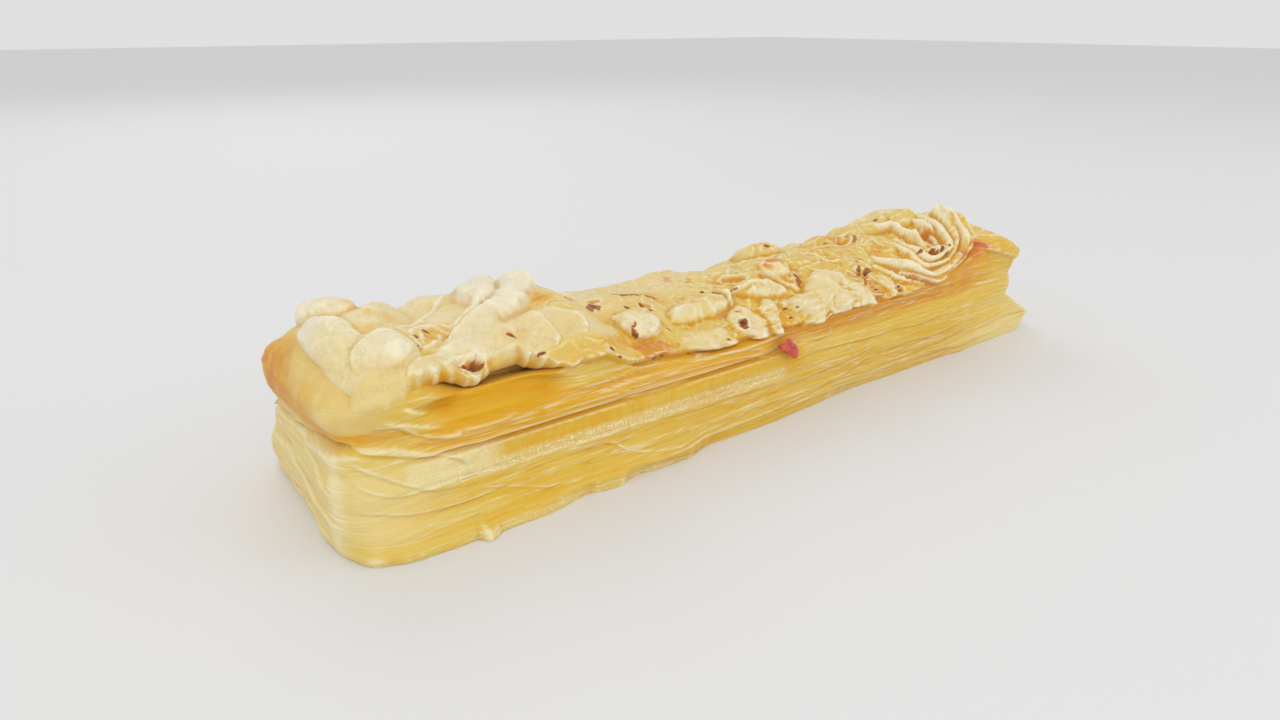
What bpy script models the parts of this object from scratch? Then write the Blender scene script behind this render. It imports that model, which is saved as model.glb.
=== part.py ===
"""Cheese straw: a bar of baked puff pastry under a topping of baked cheese.

The bar lies along X, with its broad flaky front towards -Y and its base on z = 0.
Places along it are given as "along", from the near end, and "across", measured round
the top from the bar's middle line: past about 20 mm it runs down a side.
"""

import math
from collections import namedtuple

import bmesh
import bpy
import numpy as np
from mathutils import Matrix, Vector, noise

MM = 0.001

# Driving dimensions of the pastry.
LENGTH = 194 * MM
HALF_WIDTH = 22 * MM
LEDGE_HEIGHT = 15.5 * MM
CRUST_DROP = 7.5 * MM  # how far the crust lies under the mean surface of the cheese
TOP_RADIUS = 9 * MM
RIM_RADIUS = 5 * MM  # of the crust's raised rim at the far end
CORNER_RADIUS = 5 * MM
FAR_CORNER_RADIUS = 2 * MM
CROWN = 6.5 * MM  # the top's rise from its sides to its middle line
LAYER_RELIEF = 0.8 * MM
LEDGE_SHARE = 0.56  # of the mesh rows up a wall, these lie under the ledge
PASTRY_CUTS = (71, 7, 17)  # along, across and up

# Height of the cheese's mean surface on the middle line, at places along the bar.
TOP_PROFILE = [
    (0, 34.5), (8, 35.5), (14, 35.5), (24, 33), (38, 33.5), (50, 34.5), (60, 30),
    (80, 28.5), (104, 28.5), (118, 30), (140, 29), (152, 30), (164, 33),
    (175, 35.5), (184, 32.2), (194, 28.8),
]
# Where the front corner of the far end stands, as (height, along): the flare, the notch
# and the wall, which on the plain bar is all at one place.
PLAIN_FAR_END = 190.3
FAR_END = [
    (0, 193.6), (1.7, 195.9), (3.4, 197.9), (4.7, 198.3), (12.2, 186), (15.2, 188.4),
    (24, 190), (30, 190.6),
]
# How far the crest at the back stands over that profile, and the hump beside the swirl.
CREST = [
    (0, 0), (12, -0.3), (16, 0), (20, 1.9), (25, 0.5), (30, 1.7), (34, 1.2), (38, -0.9),
    (44, -0.3), (54, -1.8), (58, -2.8), (63, -0.8), (70, 0), (76, -0.3), (82, 0.8),
    (91, 1.2), (97, -0.9), (110, -1.7), (116, -0.5), (122, -0.6), (130, -1.6), (137, 0.5),
    (143, -1.5), (150, -0.8), (158, -2.6), (163, -0.3), (170, -0.6), (176, -1.5),
    (184, -1), (200, -0.8),
]
HUMP = (180, -4, 9, 13, 1.9)  # along, across, half length, half width, height
# How far the front lip stands out of the wall's plane.
FRONT_LIP = [
    (-4, 0.6), (0, 1.2), (4, 3.4), (9, 5), (17, 6), (20, 5.9), (21.6, 7.7), (24.6, 6.2),
    (33, 6.2), (37, 5.9), (44, 4.3), (46, 5.2), (51, 5.7), (57, 3.9), (60, 4.7), (69, 4.6),
    (77, 2.3), (93, 2.7), (107, 1.8), (125, 0.7), (161, 0.6), (167, 1.4), (172, 0.8),
    (204, 0.6),
]

# Driving dimensions of the cheese.
SHEET_SPAN = (-5, 182)  # along, before its ends are cut to the edges below
SHEET_SINK = 0.9 * MM  # the even layer of cheese lies this far under the mean surface
SIDE_THICKNESS = 1.6 * MM
THINNEST = 0.9 * MM
CLEARANCE = 0.65 * MM  # from the crust's smooth form to the underside of the cheese
CHEESE_VOXEL = 1.15 * MM
CHEESE_TRIANGLES = 5200
BACK_SEED = 7

# Where the cheese ends: it drapes over the near corner, arches over the hollow in the
# front and then follows the ledge to the far end. The first edge gives across for a
# place along, and the other two give along for a place across.
FRONT_EDGE = [
    (-6, -33), (4, -36.4), (11, -33), (14.8, -27.4), (20.8, -19.6), (25.5, -24.5),
    (30, -19.8), (35, -19.8), (38.6, -26.6), (44, -32), (52, -33.2), (60, -31.6),
    (80, -30.4), (91, -31.2), (99, -32.6), (130, -32.2), (163, -32.2), (169.6, -29.4),
    (174.4, -25.2), (182, -14.8),
]
NEAR_EDGE = [(-38, 1), (-34, -5), (-22, -4), (-11, -2.4), (2, -1.6), (10, 1.2), (20, 7), (30, 10)]
FAR_EDGE = [(-36, 164), (-25, 173.5), (-16, 178), (-6, 181.5), (6, 180), (14, 176), (30, 168)]

Lobe = namedtuple("Lobe", "along across length width height")
LOBES = [
    # the pillow at the near end, which runs down over the corner
    Lobe(4.4, -4.2, 12.5, 20, 1.8), Lobe(5.6, -16, 14, 26, 0.7),
    Lobe(12.4, -13.2, 13.5, 13, 1.5), Lobe(9.5, 9, 11, 14, 2.6), Lobe(18, 4, 9, 12, 0.9),
    Lobe(16.8, -21.6, 13, 14, 0.7), Lobe(27.6, -14.4, 16, 10, 0.6), Lobe(9, -27, 18, 18, 0.9),
    # the smooth lobes beside the crossing ropes
    Lobe(38, -15.6, 13, 15, 1.4), Lobe(45.2, -16.4, 12, 14, 1.3), Lobe(44, -25.6, 16, 12, 1.2),
    Lobe(54, -17.6, 13, 12, 1.1), Lobe(54.8, -26.8, 13, 12, 1.0), Lobe(60.8, -4.8, 14, 10, 0.8),
    # the middle
    Lobe(65.4, -15.6, 8, 8, 1.9), Lobe(70.8, -2, 14, 10, 0.6), Lobe(77.5, -23.6, 15, 14, 1.9),
    Lobe(78, -11.6, 16, 9, 1.1), Lobe(87.2, -15.6, 9, 8, 0.8), Lobe(91.6, -22.4, 7.5, 16, 1.9),
    Lobe(98, -22, 5.5, 14, 1.6), Lobe(97.2, 1.2, 14, 9, 1.0), Lobe(102.4, -11.6, 12, 8, 0.9),
    # the big pale lobe with its scalloped lower edge
    Lobe(109.4, -24.6, 9, 16, 2.2), Lobe(118, -24.4, 10.5, 17, 2.5), Lobe(126.4, -24.4, 8, 15, 2.3),
    Lobe(115.2, -16, 15, 10, 1.6),
    # the hump and the browned domes
    Lobe(121, 9, 14, 13, 2.2), Lobe(111.2, -6.8, 6, 9, 1.3), Lobe(105.2, -0.8, 14, 10, 0.9),
    Lobe(121.6, -4.8, 12, 10, 0.8), Lobe(135.6, 0.8, 11, 10, 1.0), Lobe(137.2, -8.4, 12, 10, 1.2),
    Lobe(135.6, -23.2, 13, 13, 1.2), Lobe(140, 4, 14, 9, 1.6), Lobe(148.4, -5.2, 12, 14, 1.4),
    Lobe(157, 4, 14, 10, 1.8), Lobe(165.2, -0.4, 10, 12, 1.8), Lobe(163.2, -11.2, 26, 30, 0.6),
]

Rope = namedtuple("Rope", "radius lift points")
ROPES = [
    # two broad fingers that cross the top near the near end, the first with a drip
    Rope(4.2, -0.4, [(18, -19), (23, -13), (28, -7), (33, -1), (39, 6), (44, 13), (49, 24)]),
    Rope(3.4, 0.2, [(30, -21), (33, -15), (37.6, -8.6), (42.4, -2.8), (47, 3), (52, 11), (57, 24)]),
    Rope(1.2, 0.6, [(21.6, -19), (23, -21.4), (25.6, -24), (27.8, -22), (30, -19.2)]),
    # ridges in the middle
    Rope(1.4, 0.3, [(88.4, -3.2), (94.8, -2.8), (104.4, -3.6), (108, -10.4), (110, -14.8)]),
    Rope(1.4, 0.6, [(111.6, -1.2), (115.4, -1.6), (115.4, -5.6), (112.8, -10.8)]),
]

# The swirl at the far end: ropes laid as nested loops round a browned pocket, as the
# middle's place along, half the length, half the width and the radius.
SWIRL_ACROSS = -7
SWIRL_LOOPS = [
    (157.5, 14.5, 18.5, 1.5), (161, 10.5, 16, 1.2), (161.5, 6.5, 13, 1.1), (162.5, 3.4, 11, 1.0),
]
SWIRL_SWEEP = (math.radians(165), math.radians(395))
SWIRL_LIFT = 1.2

# The red piece of pepper that sticks out under the cheese.
PEPPER_PLACE = (99.2, 16.4)  # along, height
PEPPER_SIZE = (8.0 * MM, 2.4 * MM, 4.6 * MM)
PEPPER_TURN = math.radians(30)
PEPPER_GAP = 0.3 * MM

SIDE_FRONT, SIDE_BACK, SIDE_NEAR, SIDE_FAR = range(4)


def clear_scene():
    for thing in list(bpy.data.objects):
        bpy.data.objects.remove(thing, do_unlink=True)


def make_collection(name):
    collection = bpy.data.collections.new(name)
    bpy.context.scene.collection.children.link(collection)
    return collection


def make_material(name, colour, roughness):
    material = bpy.data.materials.new(name)
    material.use_nodes = True
    shader = material.node_tree.nodes["Principled BSDF"]
    shader.inputs["Base Color"].default_value = (*colour, 1)
    shader.inputs["Roughness"].default_value = roughness
    shader.inputs["Metallic"].default_value = 0
    return material


def add_object(name, mesh, collection, material=None):
    thing = bpy.data.objects.new(name, mesh)
    collection.objects.link(thing)
    if material:
        mesh.materials.append(material)
    return thing


def smooth_step(value, start, end):
    """0 before start, 1 after end, and a smooth rise between them."""
    share = min(max((value - start) / (end - start), 0), 1)
    return share * share * (3 - 2 * share)


def bump(value, low, high, soft):
    """1 between low and high, fading to 0 over the distance soft on either side."""
    return smooth_step(value, low - soft, low) * (1 - smooth_step(value, high, high + soft))


def through(points, value):
    """A smooth curve through (place, value) pairs, read at a place."""
    if value <= points[0][0]:
        return points[0][1]
    for (x0, y0), (x1, y1) in zip(points, points[1:]):
        if value <= x1:
            return y0 + (y1 - y0) * smooth_step(value, x0, x1)
    return points[-1][1]


def cheese_height(along):
    return through(TOP_PROFILE, along / MM) * MM


def raised_height(along, across):
    """The cheese's height, with its crest at the back and the hump beside the swirl."""
    s, q = along / MM, across / MM
    place, middle, half_length, half_width, rise = HUMP
    away = ((s - place) / half_length) ** 2 + ((q - middle) / half_width) ** 2
    crest = through(CREST, s) * smooth_step(q, 1, 10)
    return cheese_height(along) + (crest + rise * (1 - smooth_step(away, 0, 1))) * MM


def crown(along):
    """The top's rise from its sides to its middle line, which is less at the far end."""
    return CROWN * (1 - 0.65 * smooth_step(along, 166 * MM, 188 * MM))


def crust_drop(along):
    """How far the crust lies under the cheese: less at both ends, where it stands bare."""
    near_shell = 6.2 * MM * (1 - smooth_step(along, 2 * MM, 40 * MM))
    far_shell = 6.2 * MM * smooth_step(along, 168 * MM, 184 * MM)
    return CRUST_DROP - near_shell - far_shell


def clamp(value, low, high):
    return max(low, min(high, value))


def wrap(along, across, height):
    """The point and the outward direction on a plain bar of this height, round its top.

    Past the edge, across runs on down the side, and along below 0 down the near end.
    """
    flat = clamp(across, -HALF_WIDTH, HALF_WIDTH)
    down = max(abs(across) - HALF_WIDTH, 0) + max(-along, 0)
    corner = Vector((max(along, 0), flat, height - down))
    inner = Vector((
        max(corner.x, TOP_RADIUS),
        clamp(flat, TOP_RADIUS - HALF_WIDTH, HALF_WIDTH - TOP_RADIUS),
        min(corner.z, height - TOP_RADIUS),
    ))
    out = (corner - inner).normalized()
    point = inner + out * TOP_RADIUS
    point.z -= crown(along) * (point.y / HALF_WIDTH) ** 2 * max(out.z, 0)
    return point, out


def pinch(above, depth, reach=6.0):
    """A crease: a long slope in from above it, and a sharp step out below it."""
    if above > 0:
        return -depth * (1 - smooth_step(above, 0, reach))
    return -depth * (1 - smooth_step(-above, 0, 1.6))


def front_offset(along, height):
    """How far the front wall stands out from its plane, at a place along and a height."""
    s, z = along / MM, height / MM
    offset = through(FRONT_LIP, s) * (1 - smooth_step(z, 1.0, 8.5))
    offset += 0.9 * bump(s, 20, 175, 14) * bump(z, 3, 9, 2)
    offset += 0.7 * bump(s, 24, 100, 12) * bump(z, 11, 14.6, 1.2)
    ledge = bump(s, 20, 92, 16)
    offset -= 0.6 * ledge * bump(z, 15.2, 15.6, 0.7)
    offset += 0.9 * ledge * bump(z, 16.6, 19.2, 1.0)
    offset -= 0.3 * bump(s, 46, 180, 8) * smooth_step(z, 20.0, 22.5)
    offset -= 0.6 * bump(s, 104, 176, 14) * bump(z, 15.5, 18.5, 1.6)
    notch = 21 - 6.5 * smooth_step(s, 4, 26)
    offset += pinch(z - notch, 2.6 * (1 - smooth_step(s, 3, 22)))
    offset += 1.0 * (1 - smooth_step(s, 6, 18)) * bump(z, 2, 11, 4)
    lip = 22.4 + 0.3 * (190 - s)
    offset += 1.3 * smooth_step(s, 166, 178) * smooth_step(z, lip - 0.5, lip + 0.7)
    under_lip = smooth_step(z, 14, 18) * (1 - smooth_step(z, lip - 4, lip))
    offset -= 0.8 * smooth_step(s, 160, 180) * under_lip
    return offset * MM


def hollow(along, height):
    """How deep the front wall is hollowed under the cheese, which hangs free over it."""
    s, z = along / MM, height / MM
    floor = 22.6 - 1.2 * smooth_step(s, 20, 44)
    roof = 25.0 - 3.0 * smooth_step(s, 34, 50)
    up = smooth_step(z, floor - 1.4, floor + 0.8) * (1 - smooth_step(z, roof - 1.2, roof + 0.8))
    return 2.8 * bump(s, 20, 38, 9) * up * MM


def back_offset(along, height):
    s, z = along / MM, height / MM
    lip = 2.6 + 1.0 * math.sin(s / 21) + 0.8 * math.sin(s / 9 + 2)
    offset = lip * (1 - smooth_step(z, 1.5, 9))
    seam = 14.5 + 1.6 * math.sin(s / 33 + 1)
    offset -= 1.6 * bump(z, seam - 0.6, seam + 0.6, 1.8)
    offset += 0.9 * bump(z, seam + 2.6, seam + 4.4, 1.4)
    offset -= 1.4 * smooth_step(z, 20.5, 24)
    return offset * MM


def near_offset(across, height):
    """The near end: a tall base, a waist that falls towards the back, the crust's bulge."""
    y, z = across / MM, height / MM
    waist = 20 - 0.12 * (y + HALF_WIDTH / MM)
    offset = 1.2 * bump(z, 1.5, waist - 7, 3)
    offset += pinch(z - waist, 1.7 + 1.2 * (1 - smooth_step(y, -16, -4)), 5.2)
    offset += 0.9 * bump(z, waist + 8, waist + 13, 6)
    offset -= 0.9 * (1 - smooth_step(z, 2, 7)) * smooth_step(y, -14, 4)
    return offset * MM


def far_shift(along, height):
    """How far the far end stands past the plain bar's."""
    reach = np.interp(height / MM, *np.array(FAR_END).T) - PLAIN_FAR_END
    return reach * smooth_step(along, 166 * MM, 190 * MM) * MM


def layer_relief(turn, height, side):
    """The thin leaves of the pastry: long low ridges, one above the other."""
    leaf = noise.noise(Vector((turn / MM / 16, height / MM / 1.4, side * 9.7)))
    crag = noise.noise(Vector((turn / MM / 5, height / MM / 2.1, side * 5.3 + 40)))
    bare = 1 if side == SIDE_FAR else 1 - smooth_step(height, 15 * MM, 19 * MM)
    return LAYER_RELIEF * bare * (leaf + 0.5 * crag)


def base_raggedness(turn, height, side):
    """The uneven foot of a wall. The front's own lip is uneven enough."""
    if side == SIDE_FRONT:
        return 0
    ragged = noise.noise(Vector((turn / MM / 6.5, side * 3.1, 8.5)))
    return 1.2 * ragged * (1 - smooth_step(height / MM, 1, 6)) * MM


def wall_offset(point, out, relief):
    """The walls' shapes, blended round the four upright corners."""
    along, height = point.x, point.z
    across_weight, along_weight = out.y**2, out.x**2
    long_side, shape = (SIDE_FRONT, front_offset) if out.y < 0 else (SIDE_BACK, back_offset)
    end = SIDE_NEAR if out.x < 0 else SIDE_FAR
    offset = across_weight * shape(along, height)
    if end == SIDE_NEAR:
        offset += along_weight * near_offset(point.y, height)
    if relief:
        offset += across_weight * layer_relief(along, height, long_side)
        offset += along_weight * layer_relief(point.y, height, end)
        offset += across_weight * base_raggedness(along, height, long_side)
        offset += along_weight * base_raggedness(point.y, height, end)
        if long_side == SIDE_FRONT:
            offset -= across_weight * hollow(along, height)
    return offset


def crust_lift(along, point, out):
    """How far the smooth crust lies past a point of the plain bar, in its direction."""
    level = Vector((out.x, out.y, 0))
    walls = wall_offset(point, level.normalized(), False) if level.length > 0.01 else 0
    return walls * (1 - out.z) - crust_drop(along) * max(out.z, 0)


def loaf_point(share, across_share, up_share, grow, relief):
    """One point of the pastry, from its place in a box: shares run 0..1, -1..1, 0..1."""
    along = share * LENGTH
    top = cheese_height(along)
    if up_share < LEDGE_SHARE:
        height = LEDGE_HEIGHT * up_share / LEDGE_SHARE
    else:
        rest = (up_share - LEDGE_SHARE) / (1 - LEDGE_SHARE)
        height = LEDGE_HEIGHT + rest * (top - LEDGE_HEIGHT)
    upper = smooth_step(up_share, 0.3, 1)
    far_end = smooth_step(along, 172 * MM, 188 * MM)
    round_top = TOP_RADIUS + (RIM_RADIUS - TOP_RADIUS) * far_end
    low, high = (CORNER_RADIUS, TOP_RADIUS) if share < 0.5 else (FAR_CORNER_RADIUS, RIM_RADIUS)
    side = low + (TOP_RADIUS - low) * upper
    end = low + (high - low) * upper
    corner = Vector((along, across_share * HALF_WIDTH, height))
    inner = Vector((
        clamp(corner.x, end, LENGTH - end),
        clamp(corner.y, side - HALF_WIDTH, HALF_WIDTH - side),
        min(corner.z, top - round_top),
    ))
    away = corner - inner
    out = Vector((away.x / end, away.y / side, away.z / round_top)).normalized()
    level = Vector((out.x, out.y, 0))
    point = inner + Vector((out.x * end, out.y * side, out.z * round_top))
    point.z -= crown(along) * (point.y / HALF_WIDTH) ** 2 * max(out.z, 0)
    sunk = out * crust_drop(along) * max(out.z, 0)
    shift = far_shift(along, point.z)
    if level.length > 0.01:
        steep = level.length
        level.normalize()
        point += level * wall_offset(point, level, relief) * smooth_step(steep, 0.1, 0.8)
    point.x += shift
    return point - sunk + out * grow


def box_grid(name, cuts, plain_base=False):
    """A box split into even squares, along, across and up. A plain base is one face."""
    bm = bmesh.new()
    bmesh.ops.create_cube(bm, size=1)
    for axis, count in enumerate(cuts):
        edges = [
            edge
            for edge in bm.edges
            if abs(edge.verts[0].co[axis] - edge.verts[1].co[axis]) > 0.5 / (count + 1)
        ]
        bmesh.ops.subdivide_edges(bm, edges=edges, cuts=count, use_grid_fill=True)
    if plain_base:
        base = [face for face in bm.faces if all(v.co.z < -0.499 for v in face.verts)]
        bmesh.ops.dissolve_faces(bm, faces=base, use_verts=False)
        loose = [vert for vert in bm.verts if not vert.link_faces]
        bmesh.ops.delete(bm, geom=loose, context="VERTS")
    mesh = bpy.data.meshes.new(name)
    return bm, mesh


def make_loaf(name, cuts, grow, relief):
    bm, mesh = box_grid(name, cuts, plain_base=True)
    for vert in bm.verts:
        share, across_share, up_share = vert.co.x + 0.5, 2 * vert.co.y, vert.co.z + 0.5
        vert.co = loaf_point(share, across_share, up_share, grow, relief)
    bmesh.ops.recalc_face_normals(bm, faces=bm.faces)
    bm.to_mesh(mesh)
    bm.free()
    return mesh


def back_edge(s):
    edge = 29 + 1.8 * math.sin(s / 8) + 1.2 * math.sin(s / 3.7 + 1)
    return edge - 15 * smooth_step(s, 166, 182) - 6 * (1 - smooth_step(s, 2, 12))


def sheet_place(share, across_share):
    """Along and across on the cheese, from shares of the way between its four edges."""
    first, last = SHEET_SPAN
    rough = first + (last - first) * share
    low = through(FRONT_EDGE, rough)
    across = low + across_share * (back_edge(rough) - low)
    near, far = through(NEAR_EDGE, across), through(FAR_EDGE, across)
    along = near + share * (far - near)
    low = through(FRONT_EDGE, along)
    return along * MM, (low + across_share * (back_edge(along) - low)) * MM


def make_sheet(name):
    """The even layer of cheese: a slab laid over the crust, between its four edges."""
    bm, mesh = box_grid(name, (90, 30, 1))
    for vert in bm.verts:
        along, across = sheet_place(vert.co.x + 0.5, vert.co.y + 0.5)
        on_side = smooth_step(abs(across), 14 * MM, 26 * MM)
        lift = -SHEET_SINK + (SHEET_SINK + SIDE_THICKNESS) * on_side
        point, out = wrap(along, across, raised_height(along, across))
        lift = max(lift, crust_lift(along, point, out) + CLEARANCE + THINNEST)
        depth = 0 if vert.co.z > 0 else 8 * MM
        vert.co = point + out * (lift - depth)
    bmesh.ops.recalc_face_normals(bm, faces=bm.faces)
    bm.to_mesh(mesh)
    bm.free()
    return mesh


def back_lobes():
    """The side that faces away has lobes of the same kind, spread evenly."""
    draw = np.random.RandomState(BACK_SEED)
    lobes = []
    for row, across in enumerate((13, 22)):
        along = 30 + 5 * row
        while along < 170:
            lobes.append(
                Lobe(
                    along,
                    across + draw.uniform(-2.5, 2.5),
                    draw.uniform(9, 15),
                    draw.uniform(9, 14),
                    draw.uniform(-0.6, 0.9),
                )
            )
            along += draw.uniform(8, 13)
    return lobes


def make_lobe(index, lobe):
    """A squashed ball that stands out of the cheese's mean surface by its height."""
    half = Vector((lobe.length, lobe.width, 0.62 * min(lobe.length, lobe.width))) * MM / 2
    along, across = lobe.along * MM, lobe.across * MM
    point, out = wrap(along, across, raised_height(along, across))
    turned = Vector((0, 0, 1)).rotation_difference(out).to_matrix().to_4x4()
    place = point + out * (lobe.height * MM - half.z)
    bm = bmesh.new()
    bmesh.ops.create_icosphere(bm, subdivisions=3, radius=1)
    shape = Matrix.Translation(place) @ turned @ Matrix.Diagonal((*half, 1))
    bmesh.ops.transform(bm, matrix=shape, verts=bm.verts)
    mesh = bpy.data.meshes.new(f"lobe_{index}")
    bm.to_mesh(mesh)
    bm.free()
    return mesh


def swirl_ropes():
    """The nested loops of the swirl: each is open towards the back."""
    first, last = SWIRL_SWEEP
    ropes = []
    for middle, half_length, half_width, radius in SWIRL_LOOPS:
        points = []
        for step in range(9):
            angle = first + (last - first) * step / 8
            along = middle + half_length * math.cos(angle)
            across = SWIRL_ACROSS + half_width * math.sin(angle)
            points.append((along, across))
        ropes.append(Rope(radius, SWIRL_LIFT, points))
    return ropes


def make_rope(index, rope):
    """A curve laid on the cheese's mean surface, made a mesh with its caps welded."""
    curve = bpy.data.curves.new(f"rope_{index}", "CURVE")
    curve.dimensions = "3D"
    curve.bevel_depth = rope.radius * MM
    curve.bevel_resolution = 2
    curve.resolution_u = 5
    curve.use_fill_caps = True
    spline = curve.splines.new("NURBS")
    spline.points.add(len(rope.points) - 1)
    spline.order_u = 4
    spline.use_endpoint_u = True
    for point, (s, q) in zip(spline.points, rope.points):
        place, out = wrap(s * MM, q * MM, raised_height(s * MM, q * MM))
        place += out * (rope.lift - 0.35 * rope.radius) * MM
        point.co = (*place, 1)
    thing = bpy.data.objects.new(curve.name, curve)
    bpy.context.scene.collection.objects.link(thing)
    graph = bpy.context.evaluated_depsgraph_get()
    mesh = bpy.data.meshes.new_from_object(thing.evaluated_get(graph))
    bpy.data.objects.remove(thing)
    bm = bmesh.new()
    bm.from_mesh(mesh)
    bmesh.ops.remove_doubles(bm, verts=bm.verts, dist=1e-6)
    bm.to_mesh(mesh)
    bm.free()
    return mesh


def keep_largest_body(mesh):
    """Drops the scraps that a cut leaves, also those that hang on by a corner or an edge."""
    bm = bmesh.new()
    bm.from_mesh(mesh)
    left = set(bm.faces)
    bodies = []
    while left:
        body, queue = set(), [left.pop()]
        while queue:
            face = queue.pop()
            body.add(face)
            joins = [edge for edge in face.edges if len(edge.link_faces) == 2]
            for other in [other for edge in joins for other in edge.link_faces]:
                if other in left:
                    left.remove(other)
                    queue.append(other)
        bodies.append(body)
    largest = max(bodies, key=len)
    scraps = [face for face in bm.faces if face not in largest]
    bmesh.ops.delete(bm, geom=scraps, context="FACES")
    bm.to_mesh(mesh)
    bm.free()


def applied_mesh(thing):
    graph = bpy.context.evaluated_depsgraph_get()
    return bpy.data.meshes.new_from_object(thing.evaluated_get(graph))


def make_cheese(parts, cutters, material):
    """Sheet, lobes and ropes are melted into one body and cut where the crust lies."""
    meshes = [make_sheet("sheet")]
    meshes += [make_lobe(i, lobe) for i, lobe in enumerate(LOBES + back_lobes())]
    meshes += [make_rope(i, rope) for i, rope in enumerate(ROPES + swirl_ropes())]
    bm = bmesh.new()
    for mesh in meshes:
        bm.from_mesh(mesh)
        bpy.data.meshes.remove(mesh)
    mesh = bpy.data.meshes.new("melted")
    bm.to_mesh(mesh)
    bm.free()
    melted = add_object("melted", mesh, parts)
    remesh = melted.modifiers.new("melt", "REMESH")
    remesh.mode = "VOXEL"
    remesh.voxel_size = CHEESE_VOXEL
    smooth = melted.modifiers.new("soften", "SMOOTH")
    smooth.factor = 0.4
    smooth.iterations = 2
    whole = applied_mesh(melted)
    thin = melted.modifiers.new("thin", "DECIMATE")
    thin.ratio = CHEESE_TRIANGLES / (2 * len(whole.polygons))
    coarse = applied_mesh(melted)
    bpy.data.objects.remove(melted)
    bpy.data.meshes.remove(whole)
    hull = add_object("crust_clearance", make_loaf("hull", PASTRY_CUTS, CLEARANCE, False), cutters)
    hull.hide_render = True
    hull.display_type = "WIRE"
    cheese = add_object("cheese_topping", coarse, parts)
    cut = cheese.modifiers.new("rest on the crust", "BOOLEAN")
    cut.operation = "DIFFERENCE"
    cut.object = hull
    final = applied_mesh(cheese)
    cheese.modifiers.remove(cut)
    cheese.data = final
    bpy.data.meshes.remove(coarse)
    keep_largest_body(final)
    final.materials.clear()
    final.materials.append(material)
    final.shade_smooth()
    return cheese


def make_pastry(parts, material):
    mesh = make_loaf("pastry_bar", PASTRY_CUTS, 0, True)
    pastry = add_object("pastry_bar", mesh, parts, material)
    mesh.shade_smooth()
    mesh.set_sharp_from_angle(angle=math.radians(40))
    return pastry


def make_pepper(parts, material):
    """A torn strip of pepper, baked on to the wall under the cheese."""
    along, height = PEPPER_PLACE
    bm = bmesh.new()
    bmesh.ops.create_icosphere(bm, subdivisions=2, radius=0.5)
    bmesh.ops.scale(bm, vec=PEPPER_SIZE, verts=bm.verts)
    bmesh.ops.rotate(bm, matrix=Matrix.Rotation(PEPPER_TURN, 3, "Y"), verts=bm.verts)
    for vert in bm.verts:
        vert.co *= 1 + 0.35 * noise.noise(vert.co / (2.6 * MM))
    place = Vector((along * MM, 0, height * MM))
    bmesh.ops.translate(bm, vec=place, verts=bm.verts)
    reach = max(vert.co.y + front_offset(vert.co.x, vert.co.z) for vert in bm.verts)
    away = HALF_WIDTH + reach + LAYER_RELIEF + PEPPER_GAP
    bmesh.ops.translate(bm, vec=(0, -away, 0), verts=bm.verts)
    mesh = bpy.data.meshes.new("red_pepper_piece")
    bm.to_mesh(mesh)
    bm.free()
    mesh.shade_smooth()
    return add_object("red_pepper_piece", mesh, parts, material)


def centre_on_origin(things):
    """Puts the origin under the middle of the whole bar's box."""
    points = [vert.co for thing in things for vert in thing.data.vertices]
    low = Vector([min(point[axis] for point in points) for axis in range(3)])
    high = Vector([max(point[axis] for point in points) for axis in range(3)])
    shift = Vector((-(low.x + high.x) / 2, -(low.y + high.y) / 2, -low.z))
    for thing in things:
        thing.data.transform(Matrix.Translation(shift))


def main():
    clear_scene()
    parts = make_collection("cheese_straw")
    cutters = make_collection("cutters")
    crust = make_material("baked_pastry", (0.74, 0.50, 0.14), 0.5)
    cheese = make_material("baked_cheese", (0.76, 0.60, 0.30), 0.35)
    pepper = make_material("red_pepper", (0.58, 0.14, 0.06), 0.35)
    things = [
        make_pastry(parts, crust),
        make_cheese(parts, cutters, cheese),
        make_pepper(parts, pepper),
    ]
    centre_on_origin(things)


if __name__ == "__main__":
    main()
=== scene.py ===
"""Cheese straw: the looks of a baked bar of puff pastry under a topping of baked cheese.

Every length inside the shaping functions is in millimetres, in the bar's own places:
"along" runs from the near end, "across" from the bar's middle line towards the back
and "height" up from the base. On the cheese, "across" is measured round the top.
"""

import itertools
import math

import bmesh
import bpy
import numpy as np
from bpy.props import FloatProperty, FloatVectorProperty, IntProperty, PointerProperty
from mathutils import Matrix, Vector


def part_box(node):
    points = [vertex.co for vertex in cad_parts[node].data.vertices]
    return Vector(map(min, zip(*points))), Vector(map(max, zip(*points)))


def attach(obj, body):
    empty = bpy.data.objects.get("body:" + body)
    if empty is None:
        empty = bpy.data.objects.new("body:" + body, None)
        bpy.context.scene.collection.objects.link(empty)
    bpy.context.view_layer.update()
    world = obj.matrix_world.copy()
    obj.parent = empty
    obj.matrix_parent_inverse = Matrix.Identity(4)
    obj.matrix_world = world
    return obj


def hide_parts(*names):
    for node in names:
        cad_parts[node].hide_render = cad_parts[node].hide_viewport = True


bl_info = {
    "name": "Cheese straw",
    "version": (1, 0, 0),
    "blender": (4, 5, 0),
    "location": "View3D > Sidebar > Cheese straw",
    "description": "Models the pastry, the cheese and the pepper of a baked cheese straw",
    "category": "Add Mesh",
}

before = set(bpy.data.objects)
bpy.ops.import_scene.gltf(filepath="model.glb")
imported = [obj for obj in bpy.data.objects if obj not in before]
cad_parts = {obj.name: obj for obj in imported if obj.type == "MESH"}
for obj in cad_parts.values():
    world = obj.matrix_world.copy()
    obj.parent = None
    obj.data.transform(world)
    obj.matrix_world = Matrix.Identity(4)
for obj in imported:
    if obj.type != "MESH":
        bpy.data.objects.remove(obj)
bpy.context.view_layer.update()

MM = 0.001
BAR_START = np.array([-100.2317, 1.6199, 0.0])  # the bar's own zero, in the frame

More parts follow.
